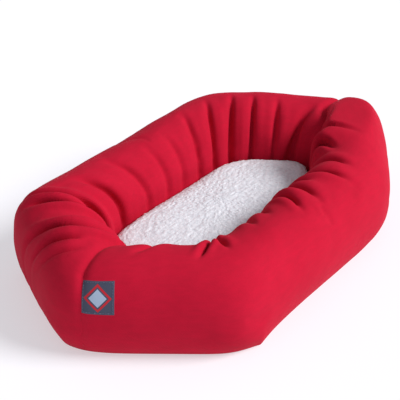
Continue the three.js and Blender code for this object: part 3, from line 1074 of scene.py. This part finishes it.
    def blow_up(self, points: np.ndarray, inwards: np.ndarray, angle: np.ndarray) -> np.ndarray:
        """Inflates the cover with Blender's cloth, held at its seams, with spare cloth round its inner side.

        Args:
            points: The start shape.
            inwards: Each point's distance in from the outline, in mm.
            angle: The columns' angles.

        Returns:
            The points after the simulation, each moved no further than the cap.
        """
        rows, columns = points.shape[:2]
        shell = make_mesh("cover_while_blown_up", points, grid_faces(rows, columns, True, True))
        height = points[..., 2] / MM
        feet = 1 - smooth_step(3, 26, height)
        seams = sum(bell(angle, join, self.pin_breadth) for join in (self.plan.front_join, self.plan.rear_join))
        pinned = np.clip(np.maximum(feet, self.join_pin * np.broadcast_to(seams[None, :], feet.shape)), 0, 1)
        ends = np.clip(sum(bell(angle, turn, self.spare_corner_breadth) for turn in self.spare_corners), 0, 1)
        spare_ends = self.least_spare + (1 - self.least_spare) * ends
        spare = smooth_step(40, 125, inwards) * smooth_step(40, 120, height) * spare_ends[None, :]
        weight_steps = 20
        for name, weights in {"held": pinned, "spare cloth": spare}.items():
            group = shell.vertex_groups.new(name=name)
            steps = np.round(weights.ravel() * weight_steps).astype(int)
            for step in np.unique(steps[steps > 0]):
                group.add(np.flatnonzero(steps == step).tolist(), step / weight_steps, "REPLACE")
        cloth = shell.modifiers.new("blow up", "CLOTH")
        stuff = cloth.settings
        stuff.quality = 6
        stuff.mass = 0.3
        stuff.tension_stiffness = stuff.compression_stiffness = 20
        stuff.shear_stiffness = 8
        stuff.bending_stiffness = 0.8
        stuff.use_pressure = True
        stuff.uniform_pressure_force = 4
        stuff.vertex_group_mass = "held"
        stuff.pin_stiffness = 8
        stuff.vertex_group_shrink = "spare cloth"
        stuff.shrink_min = 0.0
        stuff.shrink_max = -0.16
        stuff.effector_weights.gravity = 0
        cloth.collision_settings.use_collision = False
        cloth.collision_settings.use_self_collision = False
        scene = bpy.context.scene
        for number in range(self.blow_up_frames):
            scene.frame_set(1 + number)
        blown = shell.evaluated_get(bpy.context.evaluated_depsgraph_get()).data
        moved = np.empty(rows * columns * 3)
        blown.vertices.foreach_get("co", moved)
        mesh = shell.data
        bpy.data.objects.remove(shell)
        bpy.data.meshes.remove(mesh)
        scene.frame_set(1)
        shift = moved.reshape(points.shape) - points
        far = np.linalg.norm(shift, axis=-1, keepdims=True)
        shift *= self.puff_cap * np.tanh(far / self.puff_cap) / np.maximum(far, 1e-9)
        LOG.info("cover blown up: mean move %.1f mm, most %.1f mm", far.mean() / MM, far.max() / MM)
        return points + shift

    def keep_clear(self, start: np.ndarray, blown: np.ndarray, zone: np.ndarray) -> np.ndarray:
        """Holds the inner wall back where the pad stands against it, and the whole cover inside its CAD box."""
        normal = grid_normals(start, True, True)
        shift = blown - start
        outward = (shift * normal).sum(axis=-1, keepdims=True)
        inside = ((zone >= 1.5) & (zone < 3))[:, None, None]
        beside_pad = 1 - smooth_step(self.pad_top - 6, self.pad_top + 26, start[..., 2:] / MM)
        over = np.maximum(outward - self.inner_cap, 0) * np.where(inside, beside_pad, 0)
        kept = blown - normal * over
        outside = (zone < 1.45)[:, None, None]
        kept = kept - normal * np.where(outside, np.maximum(outward - self.outer_cap, 0) * 0.8, 0)
        low, high = (np.array(corner) for corner in CAD_BOX)
        slack = (high - low) * self.box_slack_share + self.box_slack
        kept[..., :2] = np.clip(kept[..., :2], (low - slack)[:2], (high + slack)[:2])
        full, room = high[2] - 1 * MM, slack[2]
        above = np.maximum(kept[..., 2] - full, 0)
        kept[..., 2] = np.maximum(kept[..., 2] - above + room * np.tanh(above / room), self.plan.base_top * MM)
        return kept

    def shape(self) -> None:
        """Works out the cover's outer surface: start shape, simulation, limits, then a finer grid."""
        plan = self.plan
        angle, zone = self.angles(self.columns_right, self.columns_left), self.zones(self.rows)
        start, inwards = self.start_shape(angle, zone)
        blown = self.blow_up(start, inwards, angle)
        kept = self.keep_clear(start, blown, zone)
        right, left = self.fine_columns
        at_columns = np.concatenate([
            np.arange(right) * self.columns_right / right,
            self.columns_right + np.arange(left) * self.columns_left / left,
        ])
        at_rows = np.arange(self.fine_rows) * self.rows / self.fine_rows
        self.surface = resample(kept, at_rows, at_columns)
        self.fine_angle = self.angles(right, left)
        self.fine_zone = np.interp(at_rows, np.arange(self.rows + 1), np.append(zone, 4.0))
        self.press_creases()
        self.surface[..., 2] = np.maximum(self.surface[..., 2], plan.base_top * MM)
        round_it = np.arange(right + left) * (self.ring_length / (right + left))
        up_it = np.arange(self.fine_rows) * (self.girth / self.fine_rows)
        self.flat = np.stack(np.meshgrid(round_it, up_it), axis=-1)

    def press_creases(self) -> None:
        """Sharpens the gathers and joins of the blown-up cover, puckers its joins and makes its faces less even."""
        plan = self.plan
        zone, angle = self.fine_zone[:, None], self.fine_angle[None, :]
        at, inwards, z = self.laid_out(self.fine_angle, self.fine_zone)
        radius = plan.radius(at, inwards)
        sink = np.zeros(at.shape)
        for fold in self.folds:
            sink += self.crease_depth * fold.drop(at, inwards, radius / self.crease_breadth)
        for join, groove in self.seam_grooves:
            away = arc(angle, join, radius)
            crease = np.exp(-((away / self.seam_crease_breadth) ** 2))
            sink += (1.2 + 0.3 * groove) * crease * self.join_show(join, z)
            pucker = np.sin(2 * np.pi * zone * self.puckers_a_zone + 2 * value_noise(self.surface, 0.02, 11))
            sink += self.pucker_depth * pucker * np.exp(-((away / self.pucker_breadth) ** 2))
        normal = self.normals()
        free = smooth_step(3, 30, self.surface[..., 2] / MM)
        inside = (zone >= 2) & (zone < 3)
        free = free * np.where(inside, smooth_step(plan.belly_height * 0.5, self.pad_top + 8, z), 1.0)
        self.surface = self.surface - normal * (sink * free * MM)[..., None]
        for axis in (0, 1):
            beside = (np.roll(self.surface, 1, axis) + np.roll(self.surface, -1, axis)) / 2
            self.surface = (self.surface + beside * free[..., None]) / (1 + free[..., None])
        normal = self.normals()
        uneven = 1.1 * value_noise(self.surface, 0.055, 21) + 0.45 * value_noise(self.surface, 0.021, 22)
        self.surface = self.surface - normal * (uneven * free * MM)[..., None]

    def normals(self) -> np.ndarray:
        """Unit normals of the cover's outer surface."""
        return grid_normals(self.surface, True, True)

    def length_of_cover(self, name: str, first: int, last: int) -> bpy.types.Object:
        """One length of cover: its outer face between two joins, its turned-in ends and its base allowances.

        Args:
            name: The piece's name.
            first: The surface column at its first join.
            last: The surface column at its last join.

        Returns:
            The piece, a cloth of real thickness.
        """
        total = self.surface.shape[1]
        columns = np.arange(first, last + 1) % total
        foot = np.searchsorted(self.fine_zone, 3.0)
        extra = int(self.allowance / (self.girth / self.fine_rows))
        rows = np.arange(-extra, foot + extra + 1) % self.fine_rows
        skin = self.surface[np.ix_(rows, columns)].copy()
        normal = self.normals()[np.ix_(rows, columns)]
        lift = smooth_step(0, 1, np.minimum(np.arange(len(rows)), np.arange(len(rows))[::-1]) / extra)
        skin[..., 2] += (1 - lift)[:, None] * self.allowance_rise
        flat = self.flat[np.ix_(rows, columns)].copy()
        turned = []
        for end, inner in ((0, 1), (-1, -2)):
            along = skin[:, inner] - skin[:, end]
            along /= np.linalg.norm(along, axis=1, keepdims=True)
            face = skin[:, end] + along * self.join_gap
            deep = self.allowance * np.minimum(1, self.turned_at_foot + lift)[:, None]
            turned.append(np.stack([face, face - normal[:, end] * deep / 2, face - normal[:, end] * deep], axis=1))
            skin[:, end] = face + along * self.join_roll
        skin = np.concatenate([turned[0][:, ::-1], skin, turned[1]], axis=1)
        flat = np.concatenate([np.repeat(flat[:, :1], 3, 1), flat, np.repeat(flat[:, -1:], 3, 1)], axis=1)
        piece = make_mesh(name, skin, grid_faces(*skin.shape[:2])[:, ::-1], flat)
        thicken(piece, self.cloth)
        return piece

    def fibre(self) -> bpy.types.Object:
        """The stuffing: the tube's plain section, drawn in below the deepest cover nearby, with soft lumps."""
        plan = self.plan
        angle = self.fine_angle[None, :]
        plain = plan.place(*self.laid_out(self.fine_angle, self.fine_zone))
        normal = grid_normals(plain, True, True)
        depth = ((plain - self.surface) * normal).sum(axis=-1) / MM
        for axis in (0, 1):
            depth = np.maximum.reduce([np.roll(depth, step, axis) for step in range(-4, 5)])
        joins = [arc(angle, join, plan.radius(angle, self.middle)) for join, _ in self.seam_grooves]
        near = np.maximum.reduce([1 - smooth_step(8, 22, np.abs(away)) for away in joins])
        lumps = self.fibre_lump * (value_noise(plain, 0.03, 5) + 1)
        depth = depth + self.fibre_gap + self.fibre_gap_at_joins * near + lumps
        for axis in (0, 1):
            depth = sum(np.roll(depth, step, axis) for step in (-1, 0, 1)) / 3 + 0.15
        body = plain - normal * (depth * MM)[..., None]
        low = 1 - smooth_step(8, 26, body[..., 2] / MM)
        middle = body.mean(axis=0, keepdims=True)
        body[..., :2] += (middle[..., :2] - body[..., :2]) * (0.22 * low)[..., None]
        body[..., 2] = np.maximum(body[..., 2], self.fibre_foot * MM)
        body = body[::2, ::2]
        piece = make_mesh("bolster_fibre", body, grid_faces(*body.shape[:2], True, True)[:, ::-1])
        return piece

    def build(self) -> None:
        """Makes the covers and the stuffing."""
        self.shape()
        right, total = self.fine_columns[0], sum(self.fine_columns)
        for side, first, last in (("right", 0, right), ("left", right, total)):
            cover = self.length_of_cover(f"bolster_{side}", first, last)
            finish_piece(cover, Body.BED, Slot.TWILL, self.wardrobe.twill, f"bolster_cover_{side}")
        finish_piece(self.fibre(), Body.BED, Slot.FIBRE, self.wardrobe.fibre, "bolster_filling")


# ------------------------------------------------------------------------ pad


@dataclass
class Pad:
    """The sleeping pad: a fleece cover over fibre, domed in the middle and sewn down all round.

    Attributes:
        side_share: The share of the rows, from the foot, that climb the side.
        edge_share: The share at which the rounded edge ends and the crown starts.
    """

    plan: BedPlan
    wardrobe: Wardrobe
    columns: int = 540
    rows: int = 112
    core_columns: int = 180
    core_rows: int = 40
    side_share: float = 0.19
    edge_share: float = 0.46
    edge_power: float = 1.35
    side_height: float = 62
    shoulder_height: float = 84
    shoulder: float = 44
    crown: float = 94
    fleece: float = 7
    wall_gap: float = 4
    pile: float = 1.3
    dimple: float = 2.2
    core_gap: float = 3.0
    core_foot: float = 3.0
    core_lump: float = 0.8

    def profile(self, angle: np.ndarray, share: np.ndarray, depth: float) -> np.ndarray:
        """The pad's side and top: straight up beside the bolster, a quarter superellipse inwards, then the crown.

        Args:
            angle: Compass angles of the columns.
            share: From 0 at the foot to 1 at the middle, one for each row.
            depth: How far under the fleece's outer face, in mm.

        Returns:
            The grid of points in metres, rows by columns.
        """
        plan = self.plan
        angle, share = np.broadcast_arrays(angle[None, :], share[:, None])
        side = plan.inner_side(angle, plan.base_top) + self.wall_gap
        z_side = plan.base_top + (self.side_height - depth - plan.base_top) * np.minimum(share / self.side_share, 1)
        wall = plan.inner_side(angle, np.minimum(z_side + depth, plan.belly_height)) + self.wall_gap
        follow = plan.radius(angle, np.maximum(side, wall) + depth)
        top_wall = plan.inner_side(angle, min(self.side_height, plan.belly_height)) + self.wall_gap
        edge = plan.radius(angle, np.maximum(side, top_wall) + depth)
        reach = self.shoulder - depth
        dome = np.clip((share - self.side_share) / (self.edge_share - self.side_share), 0, 1)
        middle = np.clip((share - self.edge_share) / (1 - self.edge_share), 0, 1)
        radius = np.where(share < self.side_share, follow, edge - reach * dome**self.edge_power)
        radius = np.where(share > self.edge_share, (edge - reach) * (1 - middle), radius)
        across = np.clip((edge - radius) / reach, 0, 1)
        low = self.side_height - depth
        power = plan.crest_power
        risen = (1 - (1 - across) ** power) ** (1 / power)
        crown = (self.crown - self.shoulder_height) * (1 - (radius / edge) ** 2)
        top = low + (self.shoulder_height - depth - low) * risen + crown
        z = np.where(share < self.side_share, z_side, top)
        return plan.spot(angle, radius, z)

    def closed(self, name: str, grid: np.ndarray) -> bpy.types.Object:
        """Closes a side-and-top grid with one point in the middle above and one below."""
        rows, columns = grid.shape[:2]
        body = grid[:-1].reshape(-1, 3)
        top, bottom = grid[-1].mean(axis=0), grid[0].mean(axis=0)
        last = (rows - 2) * columns
        faces = grid_faces(rows - 1, columns, round_columns=True).tolist()
        after = np.roll(np.arange(columns), -1)
        crown, sole = len(body), len(body) + 1
        faces += [[last + i, last + j, crown] for i, j in enumerate(after.tolist())]
        faces += [[j, i, sole] for i, j in enumerate(after.tolist())]
        piece = make_mesh(name, np.vstack([body, top, bottom]), faces)
        face_outwards(piece)
        return piece

    def build(self) -> None:
        """Makes the fleece top with its pile, and the fibre under it."""
        angle = np.linspace(-180, 180, self.columns, endpoint=False)
        share = np.linspace(0, 1, self.rows)
        skin = self.profile(angle, share, 0.0)
        normal = grid_normals(skin, False, True)
        normal[-1] = (0, 0, 1)
        normal *= np.sign(normal[self.rows // 2, 0, 2]) or 1
        up = smooth_step(10, 50, skin[..., 2] / MM)
        tufts = np.abs(value_noise(skin, 0.006, 1)) * 1.3 + 0.5 * value_noise(skin, 0.0032, 2)
        swell = value_noise(skin * (1, 1, 0.5), 0.075, 3) + 0.5 * value_noise(skin, 0.035, 4)
        raised = (self.pile * (tufts - 0.6) + self.dimple * (swell - 0.6)) * up
        fleece = self.closed("fleece_pad", skin + normal * (raised * MM)[..., None])
        finish_piece(fleece, Body.BED, Slot.FLEECE, self.wardrobe.fleece, "fleece_top")
        coarse = np.linspace(-180, 180, self.core_columns, endpoint=False)
        core = self.profile(coarse, np.linspace(0, 1, self.core_rows), self.fleece + self.core_gap)
        core[..., 2] = np.maximum(core[..., 2], self.core_foot * MM)
        lumps = value_noise(core, 0.03, 6) * self.core_lump * MM * smooth_step(0.02, 0.05, core[..., 2])
        core[..., 2] += lumps
        fibre = self.closed("pad_fibre", core)
        finish_piece(fibre, Body.BED, Slot.FIBRE, self.wardrobe.fibre, "pad_filling")


# ----------------------------------------------------------------- base panel


@dataclass
class BasePanel:
    """The base cloth, cut to the octagon, and the hand stitches that close the filling opening."""

    plan: BedPlan
    wardrobe: Wardrobe
    columns: int = 360
    rows: int = 48
    cloth: float = 1.0
    cloth_share: float = 0.75
    rim_tuck: float = 0.6
    settle: float = 0.15
    ripple: float = 0.12
    stitches: int = 26
    opening_angle: float = 90
    opening_length: float = 150
    stitch_slant: float = 2.2
    stitch_foot: float = 1.9
    stitch_rise: float = 1.6
    stitch_lift: float = 1.3
    stitch_bow: float = 0.7
    thread: float = 0.45

    def build(self) -> None:
        """Makes the base cloth and the whip stitches."""
        plan = self.plan
        angle = np.linspace(-180, 180, self.columns, endpoint=False)
        seam = plan.outer_side(plan.base_top) - plan.base_corner(angle)
        rim = plan.place(angle, seam + self.rim_tuck, np.zeros_like(angle))
        share = np.linspace(1, 0, self.rows)[:, None, None]
        top = rim[None] * share * np.array([1, 1, 0]) + np.array([0, 0, self.cloth * MM])
        top[..., 2] += (value_noise(top, 0.05, 8) * self.ripple - self.settle) * MM
        body = top[:-1].reshape(-1, 3)
        last = (self.rows - 2) * self.columns
        after = np.roll(np.arange(self.columns), -1).tolist()
        faces = grid_faces(self.rows - 1, self.columns, round_columns=True)[:, ::-1].tolist()
        faces += [[last + j, last + i, len(body)] for i, j in enumerate(after)]
        points = np.vstack([body, top[-1].mean(axis=0)])
        piece = make_mesh("base_cloth_panel", points, faces, points[:, :2])
        face_up(piece)
        thicken(piece, self.cloth * self.cloth_share * MM)
        finish_piece(piece, Body.BED, Slot.BASE, self.wardrobe.base, "base_panel")
        self.whip_stitches()

    def whip_stitches(self) -> None:
        """Slanting hand stitches over the closed opening, each a small bent thread with six sides."""
        plan = self.plan
        radius = plan.radius(np.array(self.opening_angle), plan.outer_tuck)
        half = np.degrees(self.opening_length / 2 / radius)
        at = np.linspace(self.opening_angle - half, self.opening_angle + half, self.stitches)
        steps = np.linspace(0, 1, 7)[None, :]
        angle = at[:, None] + np.degrees(self.stitch_slant / radius) * (steps - 0.5)
        z = np.broadcast_to(self.stitch_foot + self.stitch_rise * steps, angle.shape)
        out = self.stitch_lift + self.stitch_bow * np.sin(np.pi * steps)
        lines = plan.place(angle, plan.outer_side(z) - out, z)
        thread_piece(
            "fill_opening_stitches", lines, self.thread * MM, Slot.THREAD, self.wardrobe.thread,
            "fill_opening_stitching",
        )


# ---------------------------------------------------------- label and care tag


@dataclass
class Label:
    """The woven label on the cover's outer side beside the front join, and the stitches that hold it.

    Attributes:
        clear_column: A column of the cover's grid that is clear of the join, where its steps are measured.
    """

    bolster: Bolster
    wardrobe: Wardrobe
    clear_column: int = 3
    steps: int = 40
    size: float = 54 * MM
    cloth: float = 0.8 * MM
    from_join: float = 0.6 * MM
    centre_height: float = 121 * MM
    lift: float = 0.5 * MM
    stitch_inset: float = 3 * MM
    stitch: float = 3.0 * MM
    stitch_space: float = 1.2 * MM
    thread: float = 0.42 * MM

    def on_cover(self, round_it: np.ndarray, up: np.ndarray, lift: np.ndarray) -> np.ndarray:
        """Places on the cover, from distances round from the front join and up from the label's centre height.

        Args:
            round_it: Distances round in metres.
            up: Distances up the cover in metres.
            lift: How far off the cover, in metres.

        Returns:
            Places in metres.
        """
        surface, normal = self.bolster.surface, self.bolster.normals()
        clear = self.clear_column
        start_row = int(np.argmax(surface[: surface.shape[0] // 2, clear, 2] > self.centre_height))
        row_step = np.linalg.norm(surface[start_row + 1, clear] - surface[start_row, clear])
        column_step = np.linalg.norm(surface[start_row, clear + 1] - surface[start_row, clear])
        i, j = start_row + up / row_step, round_it / column_step
        low_i, low_j = np.floor(i).astype(int), np.floor(j).astype(int)
        a, b = (i - low_i)[..., None], (j - low_j)[..., None]

        def at(values: np.ndarray) -> np.ndarray:
            """Blends the four grid values round each place."""
            lower = values[low_i, low_j] * (1 - b) + values[low_i, low_j + 1] * b
            upper = values[low_i + 1, low_j] * (1 - b) + values[low_i + 1, low_j + 1] * b
            return lower * (1 - a) + upper * a

        return at(surface) + at(normal) * lift[..., None]

    def build(self) -> None:
        """Makes the label and its row of stitches."""
        share = np.linspace(0, 1, self.steps)
        u, v = np.meshgrid(share, share)
        edge = np.minimum(np.minimum(u, 1 - u), np.minimum(v, 1 - v))
        lift = self.lift + self.cloth * (0.75 + 0.35 * smooth_step(0.0, 0.03, edge))
        points = self.on_cover(self.from_join + u * self.size, (v - 0.5) * self.size, lift)
        piece = make_mesh("woven_label_patch", points, grid_faces(*u.shape), np.stack([u, v], axis=-1))
        self.face_out(piece, points)
        thicken(piece, self.cloth)
        finish_piece(piece, Body.BED, Slot.LABEL, self.wardrobe.label, "woven_label")
        self.stitches()

    def face_out(self, piece: bpy.types.Object, points: np.ndarray) -> None:
        """Turns the patch over if its faces look into the bed."""
        middle = piece.data.polygons[len(piece.data.polygons) // 2]
        if Vector(middle.normal).dot(Vector(points.reshape(-1, 3).mean(axis=0).tolist())) < 0:
            piece.data.flip_normals()

    def stitches(self) -> None:
        """A lockstitch round the label: short threads, each bowed up between its two needle holes."""
        side = self.size - 2 * self.stitch_inset
        count = int(side / (self.stitch + self.stitch_space))
        start = np.arange(count) * side / count
        t = np.linspace(0, 1, 6)
        run = (start[:, None] + self.stitch * t[None, :]) + self.stitch_inset
        low, high = np.full_like(run, self.stitch_inset), np.full_like(run, self.size - self.stitch_inset)
        paths = [(run, low), (high, run), (self.size - run, high), (low, self.size - run)]
        u = np.concatenate([a for a, _ in paths]) + self.from_join
        v = np.concatenate([b for _, b in paths]) - self.size / 2
        bow = np.broadcast_to(np.sin(np.pi * t) ** 0.5, u.shape)
        lift = self.lift + self.cloth * 1.1 + self.thread * (bow * 1.3 - 0.5)
        lines = self.on_cover(u, v, lift)
        thread_piece(
            "label_stitches", lines, self.thread, Slot.LABEL_THREAD, self.wardrobe.label_thread, "label_stitching"
        )


@dataclass
class CareTag:
    """The blank care tag, a tape sewn in at the base seam, lying out on the floor. Its measures are in mm."""

    wardrobe: Wardrobe
    joint: str = "care_tag_flap"
    width: float = 32
    length: float = 28
    cloth: float = 0.7
    clear: float = 0.4
    top: float = 1.2
    curl: float = 0.9
    ripple: float = 0.25

    def build(self) -> None:
        """Makes the tape out from its CAD hinge, curled up a little at its free end."""
        hinge = next(joint for joint in frame["joints"] if joint["name"] == self.joint)
        seam, along = np.array(hinge["pos_m"]), -np.array(hinge["axis"])
        out = np.array([along[1], -along[0], 0.0])
        a, b = np.meshgrid(np.linspace(0, 1, 29), np.linspace(-0.5, 0.5, 33))
        reach = self.clear + self.length * a
        curl = self.curl * smooth_step(0.25, 1.3, a) * (1 + 0.5 * b)
        points = seam + (reach[..., None] * out + (b * self.width)[..., None] * along) * MM
        points[..., 2] = (self.top + curl + self.ripple * np.sin(b * 9) * a) * MM
        flat = np.stack([a * self.length, b * self.width], axis=-1) * MM
        piece = make_mesh("care_tag_tape", points, grid_faces(*a.shape), flat)
        face_up(piece)
        thicken(piece, self.cloth * MM)
        finish_piece(piece, Body.TAG, Slot.TAG, self.wardrobe.tape, "care_tag")


# --------------------------------------------------------------------- studio


@dataclass
class Studio:
    """The plain floor, the soft light and the camera."""

    wardrobe: Wardrobe
    azimuth: float = -51.28
    elevation: float = 32.6
    distance: float = 1.914
    target: tuple[float, float, float] = (-0.011, 0.039, 0.0854)
    focal_share: float = 1032.65 / 400
    sensor: float = 36.0
    key_from: tuple[float, float, float] = (0.39, -0.66, 0.63)
    key_strength: float = 3.3
    key_spread: float = 26.0
    key_colour: tuple[float, float, float] = (1.0, 0.985, 0.965)
    room_light: float = 0.37
    room_colour: tuple[float, float, float, float] = (0.96, 0.97, 1.0, 1.0)
    floor_half: float = 14.0

    def build(self) -> None:
        """Makes the camera first, then the floor, the key light and the even light of the room."""
        self.camera()
        self.floor()
        self.key()
        world = bpy.data.worlds.new("studio room")
        world.use_nodes = True
        background = world.node_tree.nodes["Background"]
        background.inputs["Color"].default_value = self.room_colour
        background.inputs["Strength"].default_value = self.room_light
        bpy.context.scene.world = world
        bpy.context.scene.view_settings.view_transform = "Standard"

    def camera(self) -> None:
        """Looks at the target from the azimuth and elevation, with the lens that gives the focal share."""
        data = bpy.data.cameras.new("camera")
        data.sensor_width = self.sensor
        data.lens = self.sensor * self.focal_share
        data.clip_start, data.clip_end = 0.05, 50
        a, e = np.radians(self.azimuth), np.radians(self.elevation)
        back = Vector((np.sin(a) * np.cos(e), -np.cos(a) * np.cos(e), np.sin(e)))
        made = bpy.data.objects.new("camera", data)
        made.location = Vector(self.target) + back * self.distance
        made.rotation_mode = "QUATERNION"
        made.rotation_quaternion = (-back).to_track_quat("-Z", "Y")
        bpy.context.collection.objects.link(made)
        bpy.context.scene.camera = made

    def floor(self) -> None:
        """A wide floor under the bed."""
        signs = np.array([(-1, -1, 0), (1, -1, 0), (1, 1, 0), (-1, 1, 0)])
        corners = signs * self.floor_half
        piece = make_mesh("floor", corners, [[0, 1, 2, 3]])
        piece.data.materials.append(self.wardrobe.sweep)

    def key(self) -> None:
        """One large far softbox, as a sun with a wide disc, so that the floor is lit evenly."""
        data = bpy.data.lights.new("key softbox", "SUN")
        data.energy = self.key_strength
        data.angle = np.radians(self.key_spread)
        data.color = self.key_colour
        made = bpy.data.objects.new("key softbox", data)
        made.location = Vector(self.key_from) * 3
        made.rotation_mode = "QUATERNION"
        made.rotation_quaternion = (-Vector(self.key_from)).to_track_quat("-Z", "Y")
        bpy.context.collection.objects.link(made)


def dress_cad_threads(wardrobe: Wardrobe) -> None:
    """Gives the seam threads that stay as they are in the CAD their sewing-thread finish."""
    for name in ("outer_seam_stitching", "inner_seam_stitching", "front_join_stitching", "rear_join_stitching"):
        node = frame["nodes"][name]
        for shown in [node, *node.children_recursive]:
            if shown.type == "MESH":
                shown.data.materials.clear()
                shown.data.materials.append(wardrobe.thread)


def main() -> None:
    """Builds the bed, one sub-assembly after another, and its studio."""
    logging.basicConfig(level=logging.INFO, format="%(name)s: %(message)s")
    plan = BedPlan()
    wardrobe = Wardrobe.make()
    Studio(wardrobe).build()
    bolster = Bolster(plan, wardrobe)
    bolster.build()
    Pad(plan, wardrobe).build()
    BasePanel(plan, wardrobe).build()
    Label(bolster, wardrobe).build()
    CareTag(wardrobe).build()
    dress_cad_threads(wardrobe)


if __name__ == "__main__":
    main()
